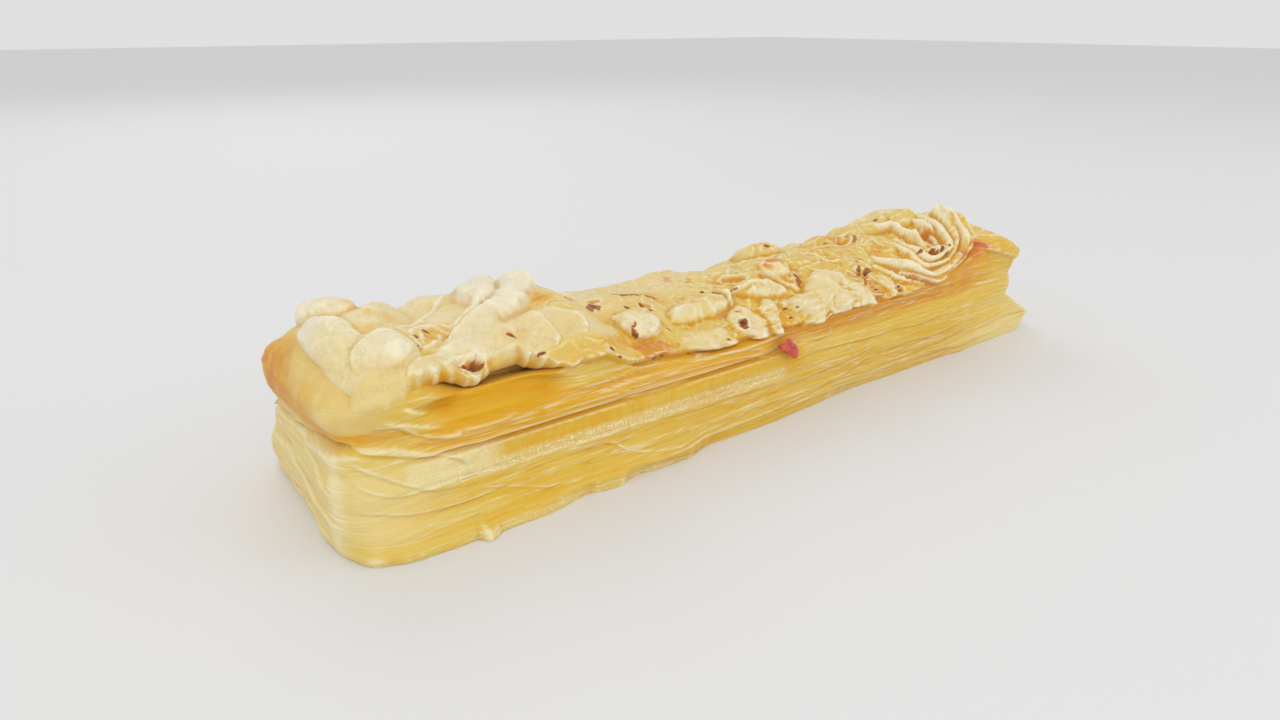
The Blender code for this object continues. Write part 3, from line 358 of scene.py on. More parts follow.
# Painted streaks, by colour, as (width, strength, points).
STREAKS = {
    "toast": [
        (0.9, 0.8, [(130.8, -31.2), (140, -31.6), (146.8, -31.6), (154.4, -32)]),
        (1.4, 1, [(140, -0.4), (141.2, 0), (142.4, 0.8)]),
        (1.1, 1, [(158.8, -16.4), (162.4, -12), (162.4, -10)]),
        (1.1, 1, [(160.4, -16.8), (163.2, -13.2), (163.2, -10.8)]),
        (1, 0.9, [(85.2, -16.4), (86.4, -16), (88, -15.2)]),
        (0.7, 0.8, [(89.2, -16.4), (90, -16.8), (90.8, -17.6)]),
        (1, 1, [(60.8, -16), (61.6, -16), (62.4, -15.6)]),
        (0.5, 0.7, [(36.8, -24.8), (37.6, -26.8), (39.2, -28)]),
        (1.2, 0.9, [(130.4, -14), (133.6, -16), (132.4, -20.8), (131.6, -24.8)]),
        (1, 0.9, [(134.8, -11.6), (136.4, -10.4), (138.8, -10)]),
        (0.7, 0.7, [(52.8, -6.8), (54.4, -6), (56, -5.6)]),
        (1.1, 0.7, [(85.2, 1.6), (86.4, 3.6), (88.4, 6.8)]),
        (1, 0.8, [(88.4, -1.6), (89.6, 0), (90.4, 0.4)]),
        (2, 0.6, [(60.8, -18.8), (61.2, -20.8), (60, -24)]),
        (1, 0.9, [(94.8, -24.4), (94.4, -26), (93.6, -28.4)]),
        (1, 0.9, [(98.4, -25.2), (99.6, -27.6), (101.2, -28.4)]),
        (1, 0.6, [(128, -12.4), (130, -15.2), (132, -16.4)]),
        (2.6, 0.55, [(170, -24.8), (170.8, -28.4), (172.4, -31.2)]),
        (1.2, 0.8, [(172.8, -20), (172.8, -23.2), (174.8, -28.4)]),
        (1, 0.9, [(161.6, -27.6), (163.6, -28.4), (165.2, -28.8)]),
        (1, 0.8, [(164.8, -32.8), (166, -32.8), (167.2, -32.8)]),
        (1.2, 0.5, [(143.2, -8.4), (146, -9.2), (147.6, -8)]),
        (0.8, 0.6, [(45.2, -5.6), (47.2, -5.2), (49.2, -4)]),
        (1.2, 0.8, [(118.8, -33.6), (120.4, -34), (122.4, -33.6)]),
        (1.6, 1, [(143.1, -18.5), (145, -20.8), (146.9, -24.4), (149.1, -26.8), (153.3, -30.1),
            (162.2, -35.9)]),
        (1, 0.8, [(160.4, -9.6), (161.6, -13), (159.8, -17.1)]),
        (1, 0.8, [(163.2, -9.6), (162.7, -13), (160, -17.2)]),
        (0.9, 0.7, [(164.1, -11.4), (162, -15.7)]),
        (2, 0.8, [(169.1, -25.3), (164.4, -24.5), (172, -32)]),
    ],
    "spice": [
        (0.7, 0.8, [(144, -3.2), (146.8, -0.8), (151.2, 3.6)]),
        (0.6, 0.7, [(65.6, -1.6), (67.6, -2.4), (70.8, -2.4), (73.6, -2.4), (75.6, -4.8),
            (75.6, -6.8)]),
        (0.9, 0.8, [(90.4, -7.6), (91.6, -8.4), (93.2, -9.6)]),
        (0.6, 0.6, [(93.6, -9.6), (94.8, -9.6), (96.4, -10)]),
        (0.9, 0.6, [(113.6, -10), (112.8, -12.4), (111.6, -15.2)]),
        (0.6, 0.6, [(34.8, -20), (35.2, -22), (36.4, -24)]),
        (0.6, 0.9, [(130.8, -15.2), (133.2, -14.4), (134.8, -12.4)]),
        (0.7, 0.8, [(134.4, -14.8), (136, -14), (138.4, -14.4)]),
        (0.6, 0.8, [(132, -15.6), (132.4, -17.2), (130.8, -19.6)]),
        (1.3, 0.8, [(56, -9.2), (58.4, -7.2), (59.2, -7.2), (60.4, -6.4)]),
        (0.8, 0.6, [(173.2, -25.6), (174, -26.8), (174.8, -26.4)]),
        (0.9, 0.7, [(136.4, 0.4), (137.2, 0.8), (137.2, 1.2)]),
    ],
    "gold": [
        (2.4, 1, [(142.8, -2), (144.8, 0), (150.4, 4.4)]),
        (2.4, 0.8, [(93.2, -10.4), (96.4, -11.6), (98.4, -13.6)]),
        (3, 0.9, [(60.4, -18.4), (63.2, -20.8), (64, -25.2), (65.2, -29.6)]),
        (2, 0.8, [(49.2, -24.8), (52.8, -23.6), (58.8, -17.6), (61.2, -16.4)]),
        (2.4, 0.9, [(102.8, -17.6), (101.6, -22), (100.4, -26), (102, -28.4)]),
        (2.6, 0.8, [(124.4, 3.2), (122, -2), (125, -1)]),
        (2.2, 0.7, [(118.4, -5.6), (123.2, -6), (127.6, -8), (130, -11.6)]),
        (2, 0.8, [(151.2, -12.8), (150.8, -17.6), (151.6, -20)]),
        (1.6, 0.7, [(155.2, -18), (158.4, -21.6), (162.8, -21.2), (166.4, -19.2), (168.8, -16.4)]),
        (1.6, 0.7, [(153.6, -20), (156.8, -24.4), (161.2, -24.8), (166.4, -22.8), (169.2, -18.8)]),
        (2.6, 0.8, [(144.4, -9.2), (146.8, -8.8), (150, -9.6)]),
        (2.2, 0.7, [(130, -8.4), (134.8, -6.4), (138.4, -6), (140.8, -7.6)]),
        (1.8, 0.8, [(75.6, -9.2), (76.4, -4.4), (74.4, -2)]),
        (1.8, 0.7, [(76.8, -11.2), (80, -11.6), (82.4, -10.8)]),
        (2.4, 0.7, [(44.8, -6.4), (47.6, -6.4), (49.6, -4.4)]),
        (1, 0.8, [(165.1, -18.3), (168.9, -14.8), (175.4, -10.7)]),
        (1.2, 0.8, [(155.5, -23.9), (159.6, -25.2), (164.5, -23.8), (167.8, -21.1)]),
        (1.2, 0.8, [(61.8, -16.8), (58.4, -19), (50.6, -26.4)]),
        (1, 0.8, [(16.1, -26.4), (19.3, -20.4), (21.5, -18.7)]),
    ],
}

# The torn edge of the red piece, in along and height, and the place that it lies round.
PEPPER_OUTLINE = [
    (98.4, 19.4), (100.5, 18.1), (102, 16.9), (102.7, 15.5), (102.7, 14.3), (102.3, 13.2),
    (101.4, 12.7), (100.1, 13.6), (98.4, 15), (96.7, 16.4), (95.2, 18), (96.2, 18.4), (97.7, 18.6),
]
PEPPER_HUB = (99.4, 16)

# The photo's camera, fitted to the bar's corners: its turn and tilt in degrees, its eye in
# the bar's own places, and its focal length and the photo's width in pixels.
CAMERA_TURN, CAMERA_TILT = -36.902, 21.5
CAMERA_EYE = (-35.206, -126.042 - HALF_WIDTH, 84.631)
FOCAL_PIXELS, PHOTO_PIXELS = 869, 1280
SENSOR_WIDTH = 36

# The stage's lights as (name, place, power, width), and what they are turned to.
LIGHTS = [
    ("key light", (-0.45, -0.55, 0.65), 1.9, 0.7),
    ("fill light", (0.6, -0.6, 0.25), 0.9, 0.6),
    ("back light", (0.1, 0.7, 0.6), 0.9, 0.5),
]
LIT_PLACE = Vector((0, 0, 0.02))


# ---------------------------------------------------------------- shaping helpers


def ease(value, start, end):
    """0 before start, 1 after end, and a smooth rise between them."""
    share = np.clip((value - start) / (end - start), 0, 1)
    return share * share * (3 - 2 * share)


def fall(value, start, end):
    """1 before start, 0 after end, and a smooth fall between them."""
    return 1 - ease(value, start, end)


def band(value, low, high, soft):
    """1 between low and high, fading to 0 over the distance soft on either side."""
    return ease(value, low - soft, low) * fall(value, high, high + soft)


def through(points, value):
    """A smooth curve through (place, value) pairs, read at each place."""
    places, values = np.array(points, float).T
    index = np.clip(np.searchsorted(places, value) - 1, 0, len(places) - 2)
    share = np.clip((value - places[index]) / (places[index + 1] - places[index]), 0, 1)
    share = share * share * (3 - 2 * share)
    return values[index] + (values[index + 1] - values[index]) * share


NOISE_DRAW = np.random.RandomState(11)
NOISE_ORDER = np.tile(NOISE_DRAW.permutation(256), 3)
NOISE_SLOPES = NOISE_DRAW.normal(size=(256, 3))
NOISE_SLOPES /= np.linalg.norm(NOISE_SLOPES, axis=1)[:, None]


def grain(x, y, z, layer=0):
    """Smooth noise from about -1 to 1, one value for each place."""
    point = np.stack(np.broadcast_arrays(x, y, z), -1).astype(float) + layer * 17.37
    cell = np.floor(point).astype(int)
    inside = point - cell
    fade = inside**3 * (inside * (inside * 6 - 15) + 10)
    total = np.zeros(point.shape[:-1])
    for corner in itertools.product((0, 1), repeat=3):
        key = 0
        for axis in range(3):
            key = NOISE_ORDER[key + ((cell[..., axis] + corner[axis]) & 255)]
        weight = np.prod(np.where(corner, fade, 1 - fade), axis=-1)
        total += weight * np.sum(NOISE_SLOPES[key] * (inside - corner), axis=-1)
    return total * 1.6


def smooth_line(points, steps=6):
    """The points of a curve that runs smoothly through these."""
    known = np.array(points, float)
    known = np.vstack([2 * known[0] - known[1], known, 2 * known[-1] - known[-2]])
    out = []
    for a, b, c, d in zip(known, known[1:], known[2:], known[3:]):
        for t in np.arange(steps) / steps:
            out.append(
                0.5 * (2 * b + (c - a) * t + (2 * a - 5 * b + 4 * c - d) * t**2
                       + (3 * b - a - 3 * c + d) * t**3)
            )
    out.append(known[-2])
    return np.array(out)


def from_line(u, v, points):
    """Signed distance from a line, positive on its left, and the share along it."""
    line = smooth_line(points)
    best = np.full(u.shape, 1e9)
    signed = np.full(u.shape, 1e9)
    share = np.zeros(u.shape)
    count = len(line) - 1
    for index in range(count):
        a, b = line[index], line[index + 1]
        run = b - a
        reach = np.clip(((u - a[0]) * run[0] + (v - a[1]) * run[1]) / (run @ run), 0, 1)
        du, dv = u - a[0] - reach * run[0], v - a[1] - reach * run[1]
        away = np.hypot(du, dv)
        nearer = away < best
        side = np.where(run[0] * dv - run[1] * du >= 0, 1.0, -1.0)
        best = np.where(nearer, away, best)
        signed = np.where(nearer, away * side, signed)
        share = np.where(nearer, (index + reach) / count, share)
    return signed, share


def turning(points):
    """1 for an outline that runs anticlockwise, and -1 for the other way."""
    u, v = np.array(points, float).T
    return np.sign(np.sum(u * np.roll(v, -1) - v * np.roll(u, -1)))


def nearby(u, v, points, reach):
    """Which places lie within reach of the box round these points, and those places."""
    low, high = np.min(points, axis=0) - reach, np.max(points, axis=0) + reach
    some = (u > low[0]) & (u < high[0]) & (v > low[1]) & (v < high[1])
    return some, u[some], v[some]


def folds(u, v, table, soft=0.35):
    """The height that all folds of a table give: a step at each line that fades away."""
    total = np.zeros(u.shape)
    for points, step, fade in table:
        some, near_u, near_v = nearby(u, v, points, 3 * fade)
        signed, share = from_line(near_u, near_v, points)
        ends = ease(share, 0, 0.12) * fall(share, 0.88, 1)
        side = 1.0 if step > 0 else -1.0
        away = signed * side
        rise = abs(step) * ease(away, -soft, soft) * np.exp(-np.clip(away, 0, None) / fade)
        groove = 0.35 * abs(step) * np.exp(-(((away + soft) / (1.2 * soft)) ** 2))
        total[some] += (rise - groove) * ends
    return total


def oval(u, v, place):
    """0 in the middle of an oval place, 1 on its outline and more outside it."""
    along, across, length, width, turn = place[:5]
    turn = math.radians(turn)
    du, dv = u - along, v - across
    a = (du * math.cos(turn) + dv * math.sin(turn)) / (length / 2)
    b = (dv * math.cos(turn) - du * math.sin(turn)) / (width / 2)
    return a * a + b * b


# ---------------------------------------------------------------- the pastry's form


def cheese_height(along):
    """The mean height of the cheese, on the bar's middle line."""
    return through(TOP_PROFILE, along)


def raised_height(along, across):
    """The cheese's height with its crest at the back and the hump beside the swirl."""
    crest = through(CREST, along) * ease(across, 1, 10)
    place, middle, half_length, half_width, rise = HUMP
    away = ((along - place) / half_length) ** 2 + ((across - middle) / half_width) ** 2
    return cheese_height(along) + crest + rise * fall(away, 0, 1)


def crown_drop(along, across, up):
    """How far the top falls away from its middle line, where it faces up."""
    crown = CROWN * (1 - 0.65 * ease(along, 166, 188))
    return crown * (across / HALF_WIDTH) ** 2 * np.clip(up, 0, None)


def crust_drop(along):
    """How far the crust lies under the cheese's height: less where it stands bare."""
    return CRUST_DROP - 6.2 * fall(along, 2, 40) - 6.2 * ease(along, 168, 184)


def wrap(along, across, height, radius=TOP_RADIUS):
    """The points and outward directions on a bar of this height, round its top.

    Past the edge, across runs on down the side, and along below 0 down the near end.
    """
    flat = np.clip(across, -HALF_WIDTH, HALF_WIDTH)
    down = np.clip(np.abs(across) - HALF_WIDTH, 0, None) + np.clip(-along, 0, None)
    ahead = np.clip(along, 0, None)
    inner = np.stack([
        np.maximum(ahead, radius),
        np.clip(flat, radius - HALF_WIDTH, HALF_WIDTH - radius),
        np.minimum(height - down, height - radius),
    ], -1)
    out = np.stack([ahead, flat, height - down], -1) - inner
    out /= np.linalg.norm(out, axis=-1)[..., None]
    point = inner + out * radius
    point[..., 2] -= crown_drop(ahead, point[..., 1], out[..., 2])
    return point, out


def wall_offset(point, out):
    """How far the walls stand out from the plain bar, and how much of each is there."""
    x, y, z = point.T
    level = np.hypot(out[:, 0], out[:, 1])
    flat = out[:, :2] / np.maximum(level, 1e-6)[:, None]
    along_weight, across_weight = flat[:, 0] ** 2, flat[:, 1] ** 2
    front, near = flat[:, 1] < 0, flat[:, 0] < 0
    offset = across_weight * np.where(front, front_offset(x, z), back_offset(x, z))
    offset += along_weight * near * near_offset(y, z)
    return offset, level, flat, front * across_weight, near * along_weight


def pinch(above, depth, reach=6.0):
    """A crease: a long slope in from above it, and a sharp step out below it."""
    return -depth * np.where(above > 0, fall(above, 0, reach), fall(-above, 0, 1.6))


def broad_lip(s):
    """The wide swell of the front lip, without its flakes."""
    return 0.6 + 3.7 * band(s, 10, 64, 12) + 1.4 * band(s, 60, 100, 24)


def front_offset(s, z):
    """How far the front wall stands out from its plane, at a place along and a height."""
    offset = broad_lip(s) * fall(z, 1.0, 8.5)
    offset += 0.9 * band(s, 20, 175, 14) * band(z, 3, 9, 2)
    offset += 0.7 * band(s, 24, 100, 12) * band(z, 11, 14.6, 1.2)
    ledge = band(s, 20, 92, 16)
    offset -= 0.6 * ledge * band(z, 15.2, 15.6, 0.7)
    offset += 0.9 * ledge * band(z, 16.6, 19.2, 1.0)
    offset -= 0.3 * band(s, 46, 180, 8) * ease(z, 20.0, 22.5)
    offset -= 0.6 * band(s, *FAR_FRONT, 14) * band(z, 15.5, 18.5, 1.6)
    notch = 21 - 6.5 * ease(s, 4, 26)
    offset += pinch(z - notch, 2.6 * fall(s, 3, 22))
    offset += fall(s, 6, 18) * band(z, 2, 11, 4)
    lip = 22.4 + 0.3 * (190 - s)
    offset += 1.3 * ease(s, 166, 178) * ease(z, lip - 0.5, lip + 0.7)
    offset -= 0.8 * ease(s, 160, 180) * ease(z, 14, 18) * fall(z, lip - 4, lip)
    return offset


def hollow(s, z):
    """How deep the front wall is hollowed under the hanging cheese."""
    floor = 22.6 - 1.2 * ease(s, 20, 44)
    roof = 25.0 - 3.0 * ease(s, 34, 50)
    up = ease(z, floor - 1.4, floor + 0.8) * fall(z, roof - 1.2, roof + 0.8)
    return 2.8 * band(s, *HOLLOW_SPAN, 9) * up


def back_offset(s, z):
    """How far the back wall stands out from its plane."""
    lip = 2.6 + 1.0 * np.sin(s / 21) + 0.8 * np.sin(s / 9 + 2)
    offset = lip * fall(z, 1.5, 9)
    seam = 14.5 + 1.6 * np.sin(s / 33 + 1)
    offset -= 1.6 * band(z, seam - 0.6, seam + 0.6, 1.8)
    offset += 0.9 * band(z, seam + 2.6, seam + 4.4, 1.4)
    offset -= 1.4 * ease(z, 20.5, 24)
    return offset


def near_waist(y):
    """The height of the crease round the near end."""
    return 20 - 0.12 * (y + HALF_WIDTH)


def near_offset(y, z):
    """How far the near end stands out from its plane, with the small spike in it."""
    waist = near_waist(y)
    offset = 1.2 * band(z, 1.5, waist - 7, 3)
    offset += pinch(z - waist, 1.7 + 1.2 * fall(y, -16, -4), 5.2)
    offset += 0.9 * band(z, waist + 8, waist + 13, 6)
    offset -= 0.9 * fall(z, 2, 7) * ease(y, -14, 4)
    spike = ((y - 15.5) / 0.9) ** 2 + ((z - 15.6) / 0.45) ** 2
    return offset + 2.4 * np.exp(-spike)


def far_shift(x, z):
    """How far the far end stands past the plain bar's."""
    return (np.interp(z, *np.array(FAR_END).T) - PLAIN_FAR_END) * ease(x, 166, 190)


def base_raggedness(place, z, side):
    """The uneven edge of the base, for the front, the back, the near and the far side."""
    rough = (0.1, 1.2, 0.3, 0.6)[side]
    edge = rough * grain(place / 6.5, side * 3.1, 8.5) * fall(z, 1, 6)
    if side == 0:
        edge += (through(BASE_LIP, place) - broad_lip(place)) * fall(z, 0.8, 4)
    return edge


def leaves(x, y, z):
    """The thin leaves of the pastry: grooves that run on and on, one above the other."""
    wave = 1.6 * grain(x / 38, y / 38, z / 14, 3) + 0.5 * grain(x / 11, y / 11, z / 9, 4)
    level = z + wave
    broad = grain(x / 70, y / 70, level / 2.6, 1)
    fine = grain(x / 44, y / 44, level, 2)
    height = 0.34 * broad + 0.1 * fine
    height -= 0.26 * np.exp(-((broad / 0.06) ** 2))
    height -= 0.12 * np.exp(-((fine / 0.08) ** 2))
    corner = fall(x, 4, 26) * fall(y, -10, 10)
    return height * (1 - 0.5 * corner)


def pastry_shape(share, across_share, up_share, relief):
    """The pastry's points from their places in a box, and where its sides and panel are."""
    along = share * LENGTH
    top = cheese_height(along)
    rest = (up_share - LEDGE_SHARE) / (1 - LEDGE_SHARE)
    height = np.where(
        up_share < LEDGE_SHARE,
        LEDGE_HEIGHT * up_share / LEDGE_SHARE,
        LEDGE_HEIGHT + rest * (top - LEDGE_HEIGHT),
    )
    upper = ease(up_share, 0.3, 1)
    round_top = TOP_RADIUS + (RIM_RADIUS - TOP_RADIUS) * ease(along, 172, 188)
    low = np.where(share < 0.5, CORNER_RADIUS, FAR_CORNER_RADIUS)
    high = np.where(share < 0.5, TOP_RADIUS, RIM_RADIUS)
    side = low + (TOP_RADIUS - low) * upper
    end = low + (high - low) * upper
    across = across_share * HALF_WIDTH
    inner = np.stack([
        np.clip(along, end, LENGTH - end),
        np.clip(across, side - HALF_WIDTH, HALF_WIDTH - side),
        np.minimum(height, top - round_top),
    ], -1)
    reach = np.stack([end, side, round_top], -1)
    out = (np.stack([along, across, height], -1) - inner) / reach
    out /= np.linalg.norm(out, axis=1)[:, None]
    point = inner + out * reach
    point[:, 2] -= crown_drop(along, point[:, 1], out[:, 2])
    offset, level, flat, front, near = wall_offset(point, out)
    x, y, z = point.T
    offset -= hollow(x, z) * front
    back, far = flat[:, 1] ** 2 - front, flat[:, 0] ** 2 - near
    for side, (weight, place) in enumerate(((front, x), (back, x), (near, y), (far, y))):
        offset += weight * base_raggedness(place, z, side)
    panel = band(x, *PANEL_SPAN, 4) * band(z, 10.8, 15.0, 0.5) * front
    crust = ease(z, 20, 24)
    slope = fall(x, 4, 16) * crust
    offset += relief * leaves(x, y, z) * (1 - 0.85 * panel) * (1 - 0.6 * crust) * (1 - slope)
    offset += relief * folds(x, z, FRONT_FOLDS) * front
    offset += NEAR_FOLD_DEPTH * relief * folds(y, z, NEAR_FOLDS) * near
    stripes = grain(x / 1.6 + z / 4, 0, z / 7, 6)
    offset += 0.12 * relief * stripes * panel
    offset *= ease(level, 0.1, 0.8)
    wrinkle = grain(x / 3.2, y / 3.2, z / 3.2, 7) + 0.5 * grain(x / 1.3, y / 1.3, z / 1.3, 8)
    bare = np.maximum(fall(x, 0, 12), ease(x, 166, 174)) * crust
    sink = crust_drop(along) * np.clip(out[:, 2], 0, None)
    moved = point + out * (0.3 * relief * wrinkle * bare - sink)[:, None]
    moved[:, :2] += flat * offset[:, None]
    moved[:, 0] += far_shift(x, z)
    return moved, {"front": front, "near": near, "panel": panel}


def pastry_paint(points, parts, fine, broad):
    """How much each kind of paint shows at each point of the pastry."""
    x, y, z = points.T
    front, near, panel = parts["front"], parts["near"], parts["panel"]
    rough = grain(x / 4, y / 4, z / 4, 14) + 0.6 * grain(x / 1.6, y / 1.6, z / 1.6, 29)
    bent = folds(x, z, FRONT_FOLDS) * front
    cave = band(x, *HOLLOW_SPAN, 8) * band(z, 20.4, 29, 1.6) * front
    ledge = band(x, 18, 100, 8) * band(z, 15.5, 20.5, 0.8) * front
    orange = band(x, *FAR_FRONT, 8) * ease(z, 14, 19) * front
    under_cheese = band(x, 104, 168, 10) * band(z, 17.8, 23.4, 2) * front
    low_front = band(x, 70, 160, 20) * fall(z, 9, 13) * front
    white = band(x, 12, 25, 5) * band(z, 10.4, 14.6, 1.4) * front
    far_top = ease(x, 168, 176) * ease(z, 24, 27)
    far_wall = 0.5 * ease(x, 156, 180) * fall(z, 3, 9)
    flare = ease(x, 176, 190) * fall(z, 9, 20)
    corner = fall(x, 2, 26) * band(z, 6, 14, 5)
    above = z - near_waist(y)
    near_crust = fall(x, 3, 12) * ease(above, -0.5, 1)
    dome = fall(x, 1, 6) * ease(y, -5, 7) * band(z, 22, 31, 3)
    slope = near_crust * ease(y, -21, -7) * fall(above, 4, 14)
    wedge = near_crust * fall(y, -18, -8) * band(above, -0.4, 1.4, 1.0)
    frost = band(z, 9.8, 11, 1.2) * band(x, 20, 98, 4) * front
    frost = np.maximum(frost, 0.4 * white)
    frost += 0.5 * band(z, 0.3, 1.4, 0.8) * band(x, 22, 62, 8) * front
    gold = 0.75 * cave + 0.9 * ledge + 0.15 * panel + 0.8 * orange
    # Painted shade: gold in the fine hollows and on the low side of the wall's folds.
    gold += 0.3 * ease(-fine, 0.02, 0.14) + 0.4 * ease(-bent, 0.05, 0.4)
    gold = np.maximum(gold, 0.35 * far_top) + under_cheese
    gold = np.maximum(gold * (1 - near_crust), 0.6 * dome + 0.8 * slope + 0.9 * wedge)
    gold = np.maximum(gold, 0.5 * near_crust * ease(rough, -0.7, 0.7))
    toast = 0.8 * dome * ease(rough, -0.9, 0.7) + 0.5 * slope * ease(rough, -0.7, 0.8)
    toast += 0.35 * wedge * ease(rough, -1, 0.6)
    toast += 0.6 * under_cheese * ease(rough, -1.2, 0.4)
    toast += 0.35 * far_top * ease(rough, -0.1, 0.8)
    slope_pale = 0.45 * near_crust * (1 - np.clip(dome + slope + wedge, 0, 1))
    low_near = 0.5 * near * fall(z, 17, 20)
    pale = np.maximum.reduce([
        0.35 * frost, 0.7 * white, 0.5 * corner, 0.3 * flare, low_near, slope_pale, far_wall,
    ])
    # Painted shade: the crease colour where the surface lies hollow over a broad reach, weaker on
    # the near crust and left out of the hollow under the arch.
    crease_shade = 0.6 * ease(-broad, 0.12, 0.6) * (1 - 0.6 * near_crust) * (1 - cave)
    bare = (1 - under_cheese) * (1 - cave) * (1 - 0.7 * near_crust)
    plain = cave + 0.8 * panel + 0.6 * flare + 0.7 * corner + near_crust
    stain = np.zeros(len(x))
    ragged = 0.5 * grain(x / 1.6, y / 1.6, z / 1.6, 35)
    for spot in PINK_SPOTS:
        stain = np.maximum(stain, spot[5] * fall(oval(x, z, spot) + ragged, 0.2, 1))
    return {
        "panel": 0.5 * panel * ease(z, 10.5, 12),
        "frost": frost,
        "gold": gold,
        "toast": toast,
        "pale": pale,
        # A little of the same colour also darkens the lower front wall.
        "crease_shade": crease_shade + 0.2 * low_front,
        # Painted highlight on fine ridges, where the pastry is bare.
        "ridge_highlight": 0.6 * ease(fine, 0.025, 0.12) * bare,
        "leafy": 1 - plain,
        "stain": stain * ease(-y, 12, 16),
    }


# ---------------------------------------------------------------- the cheese's form


def smooth_max(a, b, soft):
    """The higher of two heights, with the crease between them softened."""
    return np.maximum(a, b) + np.clip(soft - np.abs(a - b), 0, None) ** 2 / (4 * soft)


def back_lobes():
    """The side that faces away has lobes of the same kind, spread evenly."""
    draw = np.random.RandomState(7)
    lobes = []
    for row, across in enumerate((13, 22)):
        along = 30 + 5 * row
        while along < 170:
            middle = across + draw.uniform(-2.5, 2.5)
            length, width, rise = draw.uniform(9, 15), draw.uniform(9, 14), draw.uniform(-0.6, 0.9)
            lobes.append((along, middle, length, width, rise, 0.2 + 0.4 * rise))
            along += draw.uniform(8, 13)
    return lobes


def lay_over(height, tone, some, cap, shade, soft, fade, weight=1.0):
    """Lays a body of cheese over what is there, and shades it where it stands out."""
    before = height[some]
    height[some] = smooth_max(before, cap, soft)
    tone[some] += (shade - tone[some]) * ease(cap - before, *fade) * weight


def add_lobe(height, tone, along, across, lobe):
    """A round lobe: a soft swelling where it is low, and else with an edge of its own."""
    length, width, rise, shade = lobe[2:]
    some, u, v = nearby(along, across, [lobe[:2]], 0.8 * max(length, width))
    bent = 0.9 * grain(u / 6, v / 6, rise, 18)
    inside = oval(u + bent, v - bent, lobe)
    if rise < MELTED_IN:
        height[some] += rise * ease(1.6 - inside, 0, 1.5)
        tone[some] += (shade - tone[some]) * ease(1.3 - inside, 0, 0.8)
        return
    depth = 0.31 * min(length, width)
    cap = rise - depth + depth * np.sqrt(np.clip(1 - inside, 0, 1))
    cap -= 2.0 * np.clip(inside - 1, 0, None)
    lay_over(height, tone, some, cap, shade, 0.9, (-0.6, 0.6))


def add_flow(height, tone, along, across, flow):
    """A flat flow with a rounded rim, lower towards one of its ends."""
    rise, rim, shade, lean, points = flow
    some, u, v = nearby(along, across, points, 3)
    inside = from_line(u, v, points + points[:1])[0] * turning(points)
    inside += 0.5 * grain(u / 2.6, v / 2.6, rise, 17)
    bottom, top = min(point[1] for point in points), max(point[1] for point in points)
    if lean < 0:
        weight = 1 + lean * fall(v, bottom, bottom + 11)
    else:
        weight = 1 - lean * ease(v, 0.7 * bottom + 0.3 * top, top)
    depth = 0.6 * rim
    cap = rise * weight - depth + depth * np.sqrt(1 - (1 - np.clip(inside / rim, 0, 1)) ** 2)
    cap += 1.6 * np.clip(inside, None, 0) + 0.8 * grain(u / 4.2, v / 6, rise, 32)
    shade = shade + 0.35 * grain(u / 3, v / 2.4, rise, 33)
    lay_over(height, tone, some, cap, shade, 1.4, (-0.8, 0.9), 0.4 + 0.6 * weight)


def add_rope(height, tone, along, across, rope):
    """A rope of cheese, or a thin ridge, that rises out of the cheese at its ends."""
    radius, lift, shade, fade, points = rope
    some, u, v = nearby(along, across, points, 2.5 * radius)
    bent = 0.4 * radius * grain(u / 4, v / 4, radius, 19)
    signed, share = from_line(u, v, points)
    ends = ease(share, 0, fade) * ease(1 - share, 0, 0.15)
    away = np.abs(signed + bent) / radius
    if radius < THIN_RIDGE:
        shown = np.exp(-(away**2)) * ends
        height[some] += lift * shown
        tone[some] += (shade - tone[some]) * shown
        return
    cap = lift - 0.35 * radius + radius * np.sqrt(np.clip(1 - away**2, 0, None))
    cap -= 1.6 * radius * np.clip(away - 0.95, 0, None) + 1.6 * radius * (1 - ends)
    lay_over(height, tone, some, cap, shade, 0.5, (-0.3, 0.4))


def add_pit(height, along, across, pit):
    """A pit with a low rim round it."""
    depth = pit[5]
    some, u, v = nearby(along, across, [pit[:2]], 0.9 * max(pit[2:4]))
    inside = oval(u, v, pit)
    height[some] -= depth * fall(inside, 0.3, 1.1)
    height[some] += min(0.3 * depth, 0.4) * np.exp(-(((inside - 1.25) / 0.3) ** 2))


def melted(along, across):
    """The cheese's height over its mean surface, and its tone, all over the top."""
    side = ease(np.abs(across), 14, 26)
    height = -SHEET_SINK + (SHEET_SINK + SIDE_THICKNESS) * side
    height += 0.6 * grain(along / 9, across / 7, 0.5, 9)
    tone = 0.25 * grain(along / 14, across / 9, 0.5, 10) + 0.35 * ease(across, -12, 2)
    tone -= 0.25 * ease(along, 125, 145)
    for add, table in ((add_lobe, LOBES + back_lobes()), (add_flow, FLOWS), (add_rope, ROPES)):
        for row in table:
            add(height, tone, along, across, row)
    for pit in PITS:
        add_pit(height, along, across, pit)
    height += folds(along, across, CHEESE_FOLDS, 0.3)
    return height, tone


def skin(along, across, tone):
    """The wrinkles of the baked skin: fine ridges that fork and run together."""
    bent_along = along + 1.6 * grain(along / 5, across / 5, 0.5, 23)
    bent_across = across + 1.6 * grain(along / 5, across / 5, 0.5, 24)
    total = 0.16 * grain(along / 3, across / 3, 0.5, 16)
    total += 0.05 * grain(bent_along / 1.2, across / 6, 0.5, 34)
    for size, depth, layer in ((5.5, 0.40, 25), (2.8, 0.26, 26), (1.4, 0.14, 27)):
        ridges = 1 - np.abs(grain(bent_along / size, bent_across / size, 0.5, layer)) / 0.35
        total += depth * np.clip(ridges, 0, 1) ** 2
    far = ease(along, 44, 110)
    return total * (0.2 + 0.3 * ease(-tone, -0.9, 0.2) + 0.4 * far)


